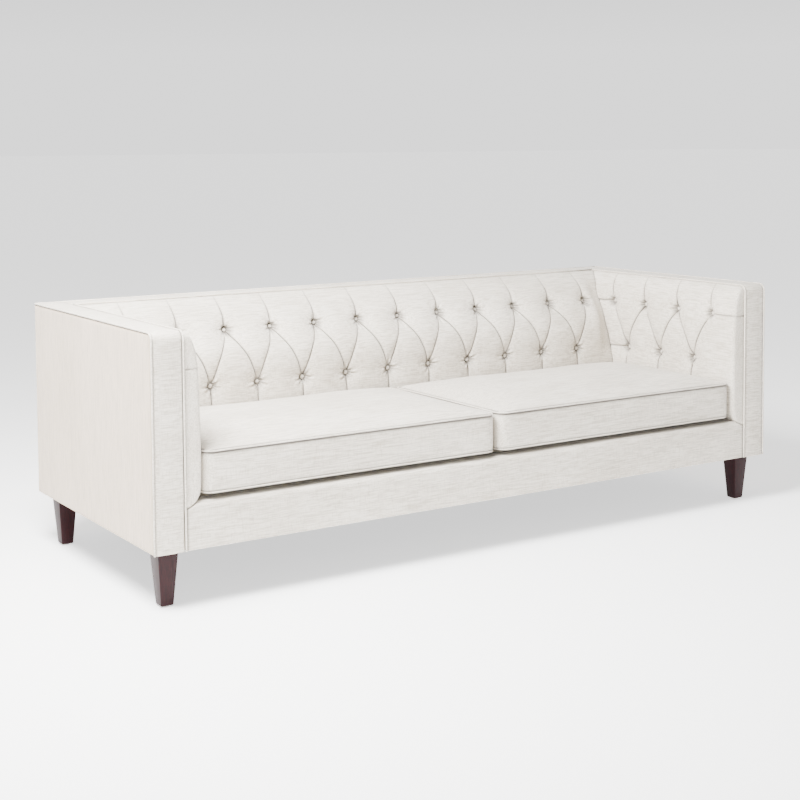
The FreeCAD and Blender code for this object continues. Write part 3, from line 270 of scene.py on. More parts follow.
# Making pieces
def finish_piece(bm, name, nodes, body, material, weld=0.02, crease=None):
    """Turn a bmesh in millimetres into a piece in metres that stands for CAD nodes."""
    bmesh.ops.remove_doubles(bm, verts=bm.verts, dist=weld)
    bmesh.ops.dissolve_degenerate(bm, edges=bm.edges, dist=weld / 4)
    bmesh.ops.recalc_face_normals(bm, faces=bm.faces)
    bmesh.ops.scale(bm, vec=(0.001, 0.001, 0.001), verts=bm.verts)
    for face in bm.faces:
        face.smooth = True
    if crease:
        for edge in bm.edges:
            edge.smooth = len(edge.link_faces) != 2 or edge.calc_face_angle(0) < math.radians(crease)
    mesh = bpy.data.meshes.new(name)
    bm.to_mesh(mesh)
    bm.free()
    mesh.materials.append(material)
    piece = bpy.data.objects.new(name, mesh)
    bpy.context.scene.collection.objects.link(piece)
    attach(piece, body)
    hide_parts(*nodes)
    return piece


def ease(share):
    """A share from 0 to 1 that starts and ends gently."""
    share = min(1, max(0, share))
    return share * share * (3 - 2 * share)


def line_through(points, at):
    """A smooth line through (place, value) pairs in rising order, read at one place."""
    if at <= points[0][0]:
        return points[0][1]
    for i in range(len(points) - 1):
        (a, va), (b, vb) = points[i], points[i + 1]
        if at <= b:
            before, after = points[max(0, i - 1)], points[min(len(points) - 1, i + 2)]
            ma = (vb - before[1]) / (b - before[0])
            mb = (after[1] - va) / (after[0] - a)
            t, span = (at - a) / (b - a), b - a
            return ((2 * t ** 3 - 3 * t ** 2 + 1) * va + (t ** 3 - 2 * t ** 2 + t) * span * ma
                    + (3 * t ** 2 - 2 * t ** 3) * vb + (t ** 3 - t ** 2) * span * mb)
    return points[-1][1]


def ripple(x, y, z, size, depth):
    """Small unevenness of stretched cloth over padding."""
    return depth * noise.noise(Vector((x / size, y / size, z / size)))


def extruded(bm, edges, steps, shift):
    """Draw an outline of edges out by equal steps, and give the last outline."""
    for _step in range(steps):
        drawn = bmesh.ops.extrude_edge_only(bm, edges=edges)["geom"]
        edges = [part for part in drawn if isinstance(part, bmesh.types.BMEdge)]
        verts = [part for part in drawn if isinstance(part, bmesh.types.BMVert)]
        bmesh.ops.translate(bm, vec=shift, verts=verts)
    return edges


def outline(bm, points):
    """A closed outline of edges through points."""
    verts = [bm.verts.new(point) for point in points]
    return [bm.edges.new(pair) for pair in zip(verts, verts[1:] + verts[:1])]


# Bands: padded strips up the arm fronts and along the tops
def band_section(start, end, low, high):
    """Across a band: down into the seam at each welt, a low crown between them, and closed beneath."""
    width, seam, crown = 86, 5.5, 3
    points = []
    for s in (0, 0.5, 1.2, 2.2, 3.6, 6, 10, 18, 30, 43, 56, 68, 76, 80, 82.4, 83.8, 84.8, 85.5, width):
        rise = seam * (1 - math.exp(-min(s, width - s) / 1.7)) + crown * math.sin(math.pi * s / width)
        points.append((start + (end - start) * s / width, low + (high - low) * rise / (seam + crown)))
    return [(start, low - 10)] + points + [(end, low - 10)]


def soften_band(bm, beside, swell):
    """Shade a band's seams, let its cloth swell a little, and close its ends."""
    layer = bm.verts.layers.float.new("fold")
    for v in bm.verts:
        inside = beside(v.co)
        # Painted shade in the seams beside the welts
        v[layer] = 0.8 * math.exp(-inside / 1.6)
        swell(v.co, ripple(*v.co, 60, 1.0) * ease(inside / 12))
    bmesh.ops.holes_fill(bm, edges=[e for e in bm.edges if e.is_boundary], sides=0)


def arm_band(word, side):
    bm = bmesh.new()
    x0, x1 = side * (ARM_IN + 0.3), side * (ARM_OUT - 0.3)
    edges = outline(bm, [(x, -y, UNDERSIDE) for x, y in band_section(x0, x1, 443, 451)])
    edges = extruded(bm, edges, 82, (0, 0, (NOSE[1] - UNDERSIDE) / 82))
    verts = list({v for edge in edges for v in edge.verts})
    turned = bmesh.ops.spin(bm, geom=edges + verts, cent=(0, *NOSE), axis=(1, 0, 0), angle=-math.pi / 2,
                            steps=10, use_duplicate=False)["geom_last"]
    edges = [part for part in turned if isinstance(part, bmesh.types.BMEdge)]
    extruded(bm, edges, 124, (0, (445 - NOSE[0]) / 124, 0))
    bmesh.ops.remove_doubles(bm, verts=bm.verts, dist=0.001)

    def swell(co, rise):
        if co.z > NOSE[1]:
            co.z += rise
        else:
            co.y -= rise

    soften_band(bm, lambda co: min(abs(co.x - x0), abs(co.x - x1)), swell)
    band = finish_piece(bm, f"{word}_arm_band_cloth", [f"{word}_arm_band"], "frame", linen)


def back_band():
    bm = bmesh.new()
    y0, y1 = 359.3, 444.7
    edges = outline(bm, [(-ARM_IN, y, z) for y, z in band_section(y0, y1, 752, 760)])
    extruded(bm, edges, 300, (2 * ARM_IN / 300, 0, 0))

    def swell(co, rise):
        co.z += rise

    soften_band(bm, lambda co: min(abs(co.y - y0), abs(co.y - y1)), swell)
    band = finish_piece(bm, "back_top_band_cloth", ["back_top_band"], "frame", linen)


# Welts: cord sewn into a strip of the same cloth
def rounded_run(corners, bends):
    """Knots of a smooth run through corners, each rounded by its own bend: place and both handles."""
    knots = []
    for i, (corner, bend) in enumerate(zip(corners, bends)):
        here = Vector(corner)
        if not bend:
            knots.append((here, here, here))
            continue
        before = (Vector(corners[i - 1]) - here).normalized()
        after = (Vector(corners[(i + 1) % len(corners)]) - here).normalized()
        near, far, pull = here + before * bend, here + after * bend, bend * 0.5523
        knots.append((near, near + before * pull, near - before * pull))
        knots.append((far, far - after * pull, far + after * pull))
    return knots


def welt(name, nodes, knots, body, closed=False):
    """A round welt on a run of knots: place and both handles."""
    curve = bpy.data.curves.new(name, "CURVE")
    curve.dimensions = "3D"
    curve.bevel_depth = WELT / 2
    curve.bevel_resolution = 3
    curve.resolution_u = 10
    curve.use_fill_caps = not closed
    run = curve.splines.new("BEZIER")
    run.bezier_points.add(len(knots) - 1)
    run.use_cyclic_u = closed
    for point, (place, before, after) in zip(run.bezier_points, knots):
        point.handle_left_type = point.handle_right_type = "FREE"
        point.co, point.handle_left, point.handle_right = place, before, after
    drawn = bpy.data.objects.new(name + "_run", curve)
    mesh = bpy.data.meshes.new_from_object(drawn)
    bpy.data.objects.remove(drawn)
    bm = bmesh.new()
    bm.from_mesh(mesh)
    bpy.data.meshes.remove(mesh)
    return finish_piece(bm, name, nodes, body, linen)


def straight_knots(start, end):
    """Both knots of a straight run, with handles a third of the way along it."""
    start, end = Vector(start), Vector(end)
    return [(start, start, start + (end - start) / 3), (end, end + (start - end) / 3, end)]


def arm_welt(word, side, edge, x, rear):
    corners = [(side * x, -448, UNDERSIDE), (side * x, -448, WELT_TOP), (side * x, rear, WELT_TOP)]
    welt(f"{word}_arm_{edge}_piping", [f"{word}_arm_{edge}_welt"], rounded_run(corners, (0, 22, 0)), "frame")


def frame_welts():
    for word, side in SIDES:
        arm_welt(word, side, "outer", ARM_OUT + 3, BACK)
        arm_welt(word, side, "inner", ARM_IN - 3, PAD_REAR + 3)
    for edge, reach, y in (("outer", ARM_OUT, BACK - 3), ("inner", ARM_IN - 6, PAD_REAR)):
        welt(f"back_{edge}_piping", [f"back_{edge}_welt"],
             straight_knots((-reach, y, WELT_TOP), (reach, y, WELT_TOP)), "frame")


# Outside panels: cloth over thin wadding, pulled tight and tacked behind the welts
def outside_panel(name, node, width, height, place):
    """A panel that falls into its seams at all four edges and is nearly flat between them.

    The callable place turns a spot on the flat panel and its rise into a point of the sofa.
    """
    bm = bmesh.new()
    columns, rows = max(8, int(width / 9)), max(8, int(height / 9))
    bmesh.ops.create_grid(bm, x_segments=columns, y_segments=rows, size=0.5)
    layer = bm.verts.layers.float.new("fold")
    for v in bm.verts:
        u, w = v.co.x, v.co.y
        across = math.sin(u * math.pi) / 2 * 0.7 + u * 0.3
        up = math.sin(w * math.pi) / 2 * 0.7 + w * 0.3
        s, t = (across + 0.5) * width, (up + 0.5) * height
        edge = min(s, width - s, t, height - t)
        rise = 1.6 + 4.0 * (1 - math.exp(-edge / 2.6)) + ripple(s, t, width, 130, 0.5) * ease(edge / 30)
        v.co = place(s, t, rise)
        # Painted shade along the seams at the sides and top, where the panel falls into them
        v[layer] = 0.8 * math.exp(-min(s, width - s, height - t) / 1.8)
    rim = [e for e in bm.edges if e.is_boundary]
    drawn = bmesh.ops.extrude_edge_only(bm, edges=rim)["geom"]
    back = [part for part in drawn if isinstance(part, bmesh.types.BMVert)]
    bmesh.ops.translate(bm, vec=place(0, 0, 0) - place(0, 0, 1.2), verts=back)
    bmesh.ops.holes_fill(bm, edges=[e for e in bm.edges if e.is_boundary], sides=0)
    panel = finish_piece(bm, name, [node], "frame", linen_outside)


def outside_panels():
    height = NOSE[1] + 18.8 - UNDERSIDE
    for word, side in SIDES:
        def on_arm(s, t, rise, side=side):
            """Along Y and up Z, with the upper front corner rounded like the welt round it."""
            y, z = -444.8 + s, UNDERSIDE + t
            over, ahead = z - NOSE[1], NOSE[0] - y
            if over > 0 and ahead > 0:
                drawn = max(over, ahead) / math.hypot(over, ahead)
                y, z = NOSE[0] - ahead * drawn, NOSE[1] + over * drawn
            return Vector((side * (ARM_OUT + rise), y, z))
        outside_panel(f"{word}_outside_arm_cloth", f"{word}_outside_arm_panel", 895.6, height, on_arm)
    outside_panel("outside_back_cloth", "outside_back_panel", 2 * ARM_OUT - 0.4, height,
                  lambda s, t, rise: Vector((-ARM_OUT + 0.2 + s, 445 + rise, UNDERSIDE + t)))


# Front border: cloth over the front rail, rolled over its upper edge
def front_border():
    bm = bmesh.new()
    half = 1046.8
    roll = [(-447 + 19 * (1 - math.cos(a)), 273 + 17 * math.sin(a))
            for a in (math.pi / 2 * step / 10 for step in range(11))]
    side_view = [(-431.5, 161.2), (-445.6, 161.2), (-446.8, 163)]
    side_view += [(-447, 163 + 110 * step / 20) for step in range(1, 20)] + roll
    side_view += [(-421, 291.2), (-412, 293.6), (-399.2, 295.2), (-399.2, 279), (-431.5, 273)]
    edges = outline(bm, [(-half, y, z) for y, z in side_view])
    extruded(bm, edges, 260, (2 * half / 260, 0, 0))
    layer = bm.verts.layers.float.new("fold")
    for v in bm.verts:
        x, y, z = v.co
        # Painted shade on the rolled top under the cushions' front, and in the seams at both ends
        painted_shade_under_cushion = 0.75 * ease((y + 433) / 10) if z > 280 else 0
        v[layer] = max(0.8 * math.exp(-(half - abs(x)) / 1.8), painted_shade_under_cushion)
        # The upper corners curve down under the tucked foot of each arm pad
        v.co.z = min(z, arm_foot(ARM_IN - abs(x)) - 0.6)
        if y < -440 and z > UNDERSIDE + 0.5:
            held = ease((z - UNDERSIDE) / 20) * ease((half - abs(x)) / 25)
            v.co.y += held * (ripple(x, 0, z, 55, 0.9) + ripple(x, 0, z * 0.3, 18, 0.35) - 0.6)
    bmesh.ops.holes_fill(bm, edges=[e for e in bm.edges if e.is_boundary], sides=0)
    border = finish_piece(bm, "front_border_cloth", ["front_border"], "frame", linen)


# Deep tufting
class Tufts:
    """The buttons of one pad, the lines it ends at, and how deep its folds lie under the puffs.

    Depths are the upper and the lower row's, and pleats those between rows and at the top seam. Tucks
    are short pleats at the ends, by end: height and depth. A corner is where cloth meets cloth at an end.
    """

    def __init__(self, uppers, lowers, start, end, depths, pleats, tucks=None, corner=False):
        self.uppers, self.lowers, self.start, self.end = uppers, lowers, start, end
        self.upper_depth, self.lower_depth = depths
        self.pleat, self.seam_pleat = pleats
        self.tucks, self.corner = tucks or {}, corner

    def fold_depth(self, z, top):
        """How far the bottom of a fold lies under the puffs at one height."""
        over = (z - UPPER_ROW) / (top - UPPER_ROW)
        rest = self.pleat + (self.seam_pleat - self.pleat) * max(0, over)
        found = rest
        for row, depth in ((UPPER_ROW, self.upper_depth), (LOWER_ROW, self.lower_depth)):
            away = abs(z - row)
            found = max(found, rest + (depth - rest) * math.exp(-(away / 26) ** 1.5))
        return found


def slanted(z, above, below):
    """A fold's place between an upper and a lower button, with the slight bow that the stuffing gives."""
    share = min(1, max(0, (UPPER_ROW - z) / (UPPER_ROW - LOWER_ROW)))
    bow = 9 * math.sin(math.pi * share) ** 1.3
    return above + (below - above) * share + math.copysign(bow, below - above)


def puff(bm, rows, left, right, columns, shape):
    """One puff: a patch between two lines over a run of heights, finest beside both folds."""
    made = bmesh.ops.create_grid(bm, x_segments=columns, y_segments=len(rows) - 1, size=0.5)["verts"]
    layer = bm.verts.layers.float["fold"]
    for v in made:
        t = math.sin(v.co.x * math.pi)
        z = rows[round((v.co.y + 0.5) * (len(rows) - 1))]
        a, b = left(z), right(z)
        x = (a + b) / 2 + (b - a) / 2 * t
        v.co, v[layer] = shape(x, z, t, x - a, b - x)


def tufted_pad(name, node, tufts, foot, face, place, columns, material, closing):
    """The tufted cloth of one pad, puff by puff between its folds, and closed behind."""
    top = PAD_TOP
    bm = bmesh.new()
    bm.verts.layers.float.new("fold")
    up, low = tufts.uppers, tufts.lowers
    heights = []
    z = foot
    while z < top - 1:
        heights.append(z)
        near = min(abs(z - UPPER_ROW), abs(z - LOWER_ROW), 3 * (top - z))
        z += 2.6 if near < 14 else (4 if near < 34 else 7)
    heights = sorted(heights + [UPPER_ROW, LOWER_ROW, top])
    buttons = [(x, UPPER_ROW) for x in up] + [(x, LOWER_ROW) for x in low]

    def relief(x, z, t, kind, away):
        """Depth under the puffs and shade: side folds, a round rise, bowls and creases at buttons."""
        fold = tufts.fold_depth(z, top)
        u = {"start": max(0, t), "end": max(0, -t)}.get(kind, abs(t))
        crown = 0
        if kind == "hanging":
            crown = tufts.lower_depth * math.exp(-(max(0, z - LOWER_ROW) / 40) ** 1.4)
        elif kind == "standing":
            crown = tufts.upper_depth * math.exp(-(max(0, UPPER_ROW - z) / 36) ** 1.3)
        tight = min(4.5, fold * 0.5)
        depth = fold - tight + (crown - fold + tight) * max(0, 1 - u * u) ** 0.85
        depth += tight * math.exp(-away / 1.8)
        # Painted shade along the bottoms of the folds, fainter near the top; below, more painted shade in
        # the bowls round the buttons, at the tucks and along a corner
        shade = 0.95 * math.exp(-(away / 2.1) ** 1.3) * (0.4 + 0.6 * ease((top - z) / 60))
        for i, (bx, bz) in enumerate(buttons):
            dx, dz = x - bx, z - bz
            if abs(dx) < 60 and abs(dz) < 60:
                far = math.hypot(dx, dz)
                turn = math.atan2(dz, dx)
                bowl = tufts.upper_depth if bz == UPPER_ROW else tufts.lower_depth
                depth = max(depth, bowl * (1 - ease((far - 6) / 19)))
                rays = math.cos(9 * turn + 2.1 * i) + 0.6 * math.cos(14 * turn + 1.3 * i)
                depth += 2.4 * rays * math.exp(-((far - 20) / 11) ** 2)
                shade = max(shade, (0.72 - 0.22 * rays) * (1 - ease((far - 8) / 18)))
        for row, tuck in tufts.tucks.get(kind, ()):
            depth += tuck * math.exp(-(abs(z - row) / 2.6) ** 1.2)
            shade = max(shade, 0.6 * math.exp(-(abs(z - row) / 2.2) ** 1.4))
        if kind in ("start", "end") and tufts.corner:
            shade = max(shade, math.exp(-max(0, tufts.end(z) - abs(x)) / 6))
        return depth + ripple(x, z, 7.0, 34, 1.1), shade

    def shaped(kind):
        """Where each point of a puff of this kind lies, and its shade."""
        def spot(x, z, t, past, before):
            away = max(0, {"start": before, "end": past}.get(kind, min(past, before)))
            depth, shade = relief(x, z, t, kind, away)
            return place(x, face(z) - max(0.2, depth), z), shade
        return spot

    def kinked(above, below):
        """A fold straight down to an upper button, across to a lower one, and straight down again."""
        def at(z):
            if z >= UPPER_ROW:
                return above
            return below if z <= LOWER_ROW else slanted(z, above, below)
        return at

    over = [z for z in heights if z >= LOWER_ROW]
    under = [z for z in heights if z <= UPPER_ROW]
    for i, (a, b) in enumerate(zip(up, up[1:])):
        puff(bm, over, kinked(a, low[i]), kinked(b, low[i]), columns, shaped("hanging"))
    for i in range(1, len(low)):
        puff(bm, under, kinked(up[i], low[i - 1]), kinked(up[i], low[i]), columns, shaped("standing"))
    puff(bm, heights, tufts.start, kinked(up[0], low[0]), columns, shaped("start"))
    puff(bm, heights, kinked(up[-1], low[-1]), tufts.end, columns, shaped("end"))
    bmesh.ops.remove_doubles(bm, verts=bm.verts, dist=0.05)
    closing(bm)
    pad = finish_piece(bm, name, [node], "frame", material, weld=0.05, crease=52)


def close_behind(bm, flatten):
    """Draw the rim of a patch back to what it lies on and fill the back."""
    rim = [e for e in bm.edges if e.is_boundary]
    drawn = bmesh.ops.extrude_edge_only(bm, edges=rim)["geom"]
    for part in drawn:
        if isinstance(part, bmesh.types.BMVert):
            part.co = flatten(part.co)
    bmesh.ops.holes_fill(bm, edges=[e for e in bm.edges if e.is_boundary], sides=0)


# How far the back's puffs stand out from its padding's rear, by height
BACK_SECTION = ((296.4, 183.6), (443, 184), (486, 184.5), (542, 184.5), (592, 174), (652, 134), (704, 92),
                (735, 56), (754, 27))
# How far the last panel at each end has fallen back where it meets the arm, by height
BACK_FALL = ((434, 0), (526, 28), (577, 44), (640, 36), (680, 32), (720, 12), (753, 0))


def back_face(z):
    return line_through(BACK_SECTION, z)


def back_pad():
    def end(z):
        """The back's cloth runs on to the face of the arm, which recedes towards its top."""
        return max(SEAT_HALF, ARM_IN + 2 - arm_face(z))

    def place(x, reach, z):
        past = 1 - ease((SEAT_HALF - abs(x)) / 75)
        return Vector((x, PAD_REAR - max(0.6, reach - past * line_through(BACK_FALL, z)), z))

    def closing(bm):
        close_behind(bm, lambda co: Vector((co.x, 355.4 - 56 * max(0, 718 - co.z) / 445, co.z)))

    tufts = Tufts(BACK_UPPERS, BACK_LOWERS, lambda z: -end(z), end, BACK_DEPTHS, (12, 4.5), corner=True)
    tufted_pad("back_tufted_cloth", "inside_back_pad", tufts, DECK_TOP, back_face, place, 26, linen, closing)


# The arm pad's section, height against reach from the arm's frame: tucked in at its foot, fullest just
# over the cushion, and rounded over at its top
ARM_SECTION = ((273.4, 4), (279, 23), (287, 36), (297, 45), (312, 52), (335, 55), (400, 56.5), (463, 57),
               (530, 55), (600, 53), (652, 51), (690, 46), (715, 40), (735, 31.5), (748, 22), (754, 15))


def arm_face(z):
    """Reach of the puffs from the arm's frame."""
    return line_through(ARM_SECTION, z)


def arm_foot(reach):
    """Height of the tucked foot where it has this reach."""
    return line_through([(near, z) for z, near in ARM_SECTION[:6]], reach)


def arm_pad(word, side):
    turn, round_off = 12, 19

    def start(z):
        """The pad's front, short of the welt by its turn, and rounded at the top like the arm."""
        over = max(0, z - NOSE[1])
        return NOSE[0] - math.sqrt(max(0, round_off ** 2 - over * over)) + turn

    def eased(reach):
        return min(turn, reach * 0.7)

    tucks = {"start": ((UPPER_ROW, 5),), "end": ((UPPER_ROW, 6), (LOWER_ROW, 6))}
    tufts = Tufts(ARM_UPPERS, ARM_LOWERS, start, lambda z: 355.6, ARM_DEPTHS, (13, 5), tucks)

    def place(y, reach, z):
        return Vector((side * (ARM_IN - reach), y, z))

    def closing(bm):
        # The cloth turns round the front of the pad and back to the welt, with a short pleat
        layer = bm.verts.layers.float["fold"]
        edges = [e for e in bm.edges if e.is_boundary
                 and all(abs(v.co.y - start(v.co.z)) < 0.01 for v in e.verts)]
        for step in range(1, 11):
            drawn = bmesh.ops.extrude_edge_only(bm, edges=edges)["geom"]
            edges = [part for part in drawn if isinstance(part, bmesh.types.BMEdge)]
            for v in (part for part in drawn if isinstance(part, bmesh.types.BMVert)):
                reach = max(2, arm_face(v.co.z) - 1)
                if step <= 6:
                    angle = math.pi / 2 * step / 6
                    v.co.y = start(v.co.z) - turn * math.sin(angle)
                    v.co.x = side * (ARM_IN - reach + eased(reach) * (1 - math.cos(angle)))
                else:
                    share = (step - 6) / 4
                    v.co.x = side * (ARM_IN - (reach - eased(reach)) * (1 - share) - 0.2)
                pleat = math.exp(-(abs(v.co.z - UPPER_ROW) / 2.4) ** 1.3)
                v.co.y += 1.2 * pleat
                # Painted shade along the short pleat and where the cloth turns back to the welt
                v[layer] = max(0.4 * pleat, 0.8 * math.exp(-(10 - step) / 0.5))
        close_behind(bm, lambda co: Vector((side * (ARM_IN - 0.2), co.y, co.z)))

    tufted_pad(f"{word}_arm_tufted_cloth", f"{word}_inside_arm_pad", tufts, 273.5, arm_face, place, 24,
               linen_inside_arm, closing)


def covered_buttons(name, node, spots, material):
    """Domed buttons in the pad's cloth, each a little askew on its seat: place, outward line."""
    bm = bmesh.new()
    layer = bm.verts.layers.float.new("fold")
    rnd = random.Random(7)
    for centre, normal in spots:
        made = bmesh.ops.create_uvsphere(bm, u_segments=20, v_segments=10, radius=8.6)["verts"]
        turn = Vector(normal).to_track_quat("Z", "Y").to_matrix().to_4x4()
        lean = (Matrix.Rotation(rnd.uniform(-0.12, 0.12), 4, "X")
                @ Matrix.Rotation(rnd.uniform(-0.12, 0.12), 4, "Y"))
        for v in made:
            # Painted shade: a little over each whole button, most towards its rim, where it sinks into its
            # bowl
            v[layer] = 0.12 + 0.6 * ease((math.hypot(v.co.x, v.co.y) - 4.5) / 4)
            if v.co.z < 0:
                v.co.z = -3.0 * min(1, -v.co.z / 3)
            else:
                v.co.z *= 0.63
        bmesh.ops.transform(bm, matrix=Matrix.Translation(centre) @ turn @ lean, verts=made)
    finish_piece(bm, name, [node], "frame", material)


def buttons():
    # Each is sunk by its row's depth, with its seat 2 mm over the bottom of the bowl
    spots = []
    for row, depth, places in ((UPPER_ROW, BACK_DEPTHS[0], BACK_UPPERS),
                               (LOWER_ROW, BACK_DEPTHS[1], BACK_LOWERS)):
        rise = Vector((0, back_face(row - 8) - back_face(row + 8), 16)).normalized()
        normal = rise.cross(Vector((-1, 0, 0)))
        spots += [(Vector((x, PAD_REAR - back_face(row) + depth - 2, row)), normal) for x in places]
    covered_buttons("back_covered_buttons", "back_buttons", spots, linen)
    for word, side in SIDES:
        spots = [(Vector((side * (ARM_IN - arm_face(row) + depth - 2), y, row)), (-side, 0, 0))
                 for row, depth, places in ((UPPER_ROW, ARM_DEPTHS[0], ARM_UPPERS),
                                            (LOWER_ROW, ARM_DEPTHS[1], ARM_LOWERS))
                 for y in places]
        covered_buttons(f"{word}_arm_covered_buttons", f"{word}_arm_buttons", spots, linen_inside_arm)


# Loose seat cushions: a cover in three parts, sewn together at two welts
LOW_WELT, HIGH_WELT, CUSHION_TOP = 309, 421, 462


def plan(side, near, far, front, rear):
    """A cushion's edges seen from above: X from and to, then Y from and to."""
    return (near, far, front, rear) if side > 0 else (-far, -near, front, rear)


def box(edges, low, high, inset=0):
    """A block between edges and two heights, in a new bmesh."""
    x0, x1, y0, y1 = edges
    bm = bmesh.new()
    bmesh.ops.create_cube(bm, size=1)
    bmesh.ops.scale(bm, vec=(x1 - x0 - inset, y1 - y0 - inset, high - low), verts=bm.verts)
    bmesh.ops.translate(bm, vec=((x0 + x1) / 2, (y0 + y1) / 2, (low + high) / 2), verts=bm.verts)
    return bm


def millimetres(co):
    return [c * 1000 for c in co]


def to_seam(z):
    """How far a height is from the nearer welt."""
    return min(abs(z - LOW_WELT), abs(z - HIGH_WELT))


def drawn_in(x, y, edges):
    """Sides of a cushion are drawn in between its corners, most at mid length."""
    x0, x1, y0, y1 = edges
    u = (x - x0) / (x1 - x0) * 2 - 1
    w = (y - y0) / (y1 - y0) * 2 - 1
    return x - u * 4 * max(0, 1 - w * w) * abs(u) ** 3, y - w * 3 * max(0, 1 - u * u) * abs(w) ** 3


def crown_cover(cushion, edges):
    """Raise the top and lower the bottom into crowns, and draw the sides in."""
    x0, x1, y0, y1 = edges
    for v in cushion.data.vertices:
        x, y, z = millimetres(v.co)
        u, w = (x - x0) / (x1 - x0) * 2 - 1, (y - y0) / (y1 - y0) * 2 - 1
        if z > HIGH_WELT - 4:
            z += 32 * max(0, 1 - abs(u) ** 5) ** 0.7 * max(0, 1 - abs(w) ** 3) ** 0.7
        elif z < LOW_WELT + 4:
            z -= 18 * max(0, (1 - u ** 6) * (1 - w ** 6)) ** 0.6
        x, y = drawn_in(x, y, edges)
        v.co = (x / 1000, y / 1000, z / 1000)


def seam_cover(cushion, edges):
    """Pull the cloth into the seams beside the welts, shade them, and keep to the cushion's room."""
    x0, x1, y0, y1 = edges
    near = 16
    fold = cushion.data.attributes.new("fold", "FLOAT", "POINT")
    for v in cushion.data.vertices:
        x, y, z = millimetres(v.co)
        away = to_seam(z)
        x = min(max(x, x0 + 0.2), x1 - 0.2)
        y = min(max(y, y0 + 0.2), y1 - 0.2)
        rim = min(x - x0, x1 - x, y - y0, y1 - y)
        if rim < near:
            pull = 3 * math.exp(-(away / 3.6) ** 2) * (1 - rim / near)
            x += pull * max(-1, min(1, (x0 + x1) / 2 - x)) * (1 if min(x - x0, x1 - x) < near else 0)
            y += pull * max(-1, min(1, (y0 + y1) / 2 - y)) * (1 if min(y - y0, y1 - y) < near else 0)
            # Painted shade beside the welts, wider just under the upper welt, which overhangs; the underside
            # rim below the lower welt is painted dark as shade too
            width = 7.0 if 380 < z < HIGH_WELT else 4.2
            beneath = 0.9 * ease((LOW_WELT - 1 - z) / 4)
            fold.data[v.index].value = max(math.exp(-(away / width) ** 2), beneath)
        z = min(z + ripple(x, y, z, 90, 1.2) * ease(away / 20), CUSHION_TOP)
        v.co = (x / 1000, y / 1000, max(z, DECK_TOP) / 1000)


def cushion_pipings(word, body, edges):
    """Welts round the cushion, drawn in with its sides and shaded beneath."""
    inset = 3.9
    x0, x1, y0, y1 = edges[0] + inset, edges[1] - inset, edges[2] + inset, edges[3] - inset
    for edge, level in (("top", HIGH_WELT + 0.8), ("bottom", LOW_WELT - 0.8)):
        corners = [(x0, y0, level), (x1, y0, level), (x1, y1, level), (x0, y1, level)]
        piping = welt(f"{word}_cushion_{edge}_piping", [f"{word}_cushion_{edge}_welt"],
                      rounded_run(corners, (34, 34, 34, 34)), body, closed=True)
        shade = piping.data.attributes.new("fold", "FLOAT", "POINT")
        for v in piping.data.vertices:
            x, y, z = millimetres(v.co)
            # Painted shade on the lower half of each welt
            shade.data[v.index].value = 0.75 * ease((level - 0.3 - z) / 1.4)
            x, y = drawn_in(x, y, edges)
            v.co.x, v.co.y = x / 1000, y / 1000


def seat_cushion(word, side):
    edges = plan(side, 3.4, 993.4, -444.6, 165.0)
    body = f"{word}_cushion"
    bm = box(edges, LOW_WELT, HIGH_WELT, inset=5)
    uprights = [e for e in bm.edges if abs(e.verts[0].co.z - e.verts[1].co.z) > 1]
    bmesh.ops.bevel(bm, geom=uprights, offset=32, segments=7, affect="EDGES", profile=0.5, material=-1)
    cushion = finish_piece(bm, f"{word}_cushion_cloth", [f"{word}_cushion_cover"], body, linen)
    remesh = cushion.modifiers.new("even_cloth", "REMESH")
    remesh.mode = "VOXEL"
    remesh.voxel_size = 0.0068
    settle(cushion)
    crown_cover(cushion, edges)
    plump(cushion, edges)
    smooth = cushion.modifiers.new("fine_cloth", "SUBSURF")
    smooth.levels = smooth.render_levels = 1
    settle(cushion)
    seam_cover(cushion, edges)
    cushion_pipings(word, body, edges)


def foam_core(word, side):
    """A block of foam a little smaller than its cover, eased at every edge."""
    bm = box(plan(side, 14, 983, -434, 155), 307, 419)
    bmesh.ops.bevel(bm, geom=bm.edges[:], offset=14, segments=3, affect="EDGES", profile=0.5, material=-1)
    core = finish_piece(bm, f"{word}_cushion_foam", [f"{word}_cushion_core"], f"{word}_cushion",
                        foam, crease=40)


def settle(piece):
    """Apply a piece's modifiers to its mesh."""
    graph = bpy.context.evaluated_depsgraph_get()
    graph.update()
    mesh = bpy.data.meshes.new_from_object(piece.evaluated_get(graph), preserve_all_data_layers=True,
                                           depsgraph=graph)
    old = piece.data
    piece.modifiers.clear()
    piece.data = mesh
    bpy.data.meshes.remove(old)
    for polygon in mesh.polygons:
        polygon.use_smooth = True


def plump(cushion, edges):
    """Let the stuffing press the cover outwards: its seams hold, and no point moves more than a limit."""
    rest = [v.co.copy() for v in cushion.data.vertices]
    seams = cushion.vertex_groups.new(name="seams")
    for v in cushion.data.vertices:
        x, y, z = millimetres(v.co)
        rim = min(x - edges[0], edges[1] - x, y - edges[2], edges[3] - y)
        seams.add([v.index], 1.0 if to_seam(z) < 9 and rim < 12 else 0.0, "REPLACE")
    cloth = cushion.modifiers.new("stuffing", "CLOTH")
    cloth.settings.use_pressure = True
    cloth.settings.uniform_pressure_force = 3.5
    cloth.settings.vertex_group_mass = "seams"
    cloth.settings.quality = 4
    cloth.settings.effector_weights.gravity = 0
    scene = bpy.context.scene
    last = 18
    cloth.point_cache.frame_start, cloth.point_cache.frame_end = 1, last
    for at in range(1, last + 1):
        scene.frame_set(at)
    settle(cushion)
    scene.frame_set(1)
    for v, start in zip(cushion.data.vertices, rest):
        move = v.co - start
        limit = Vector((0.0035, 0.0035, 0.012 if move.z > 0 else 0.006))
        v.co = start + Vector([max(-l, min(l, m)) for m, l in zip(move, limit)])


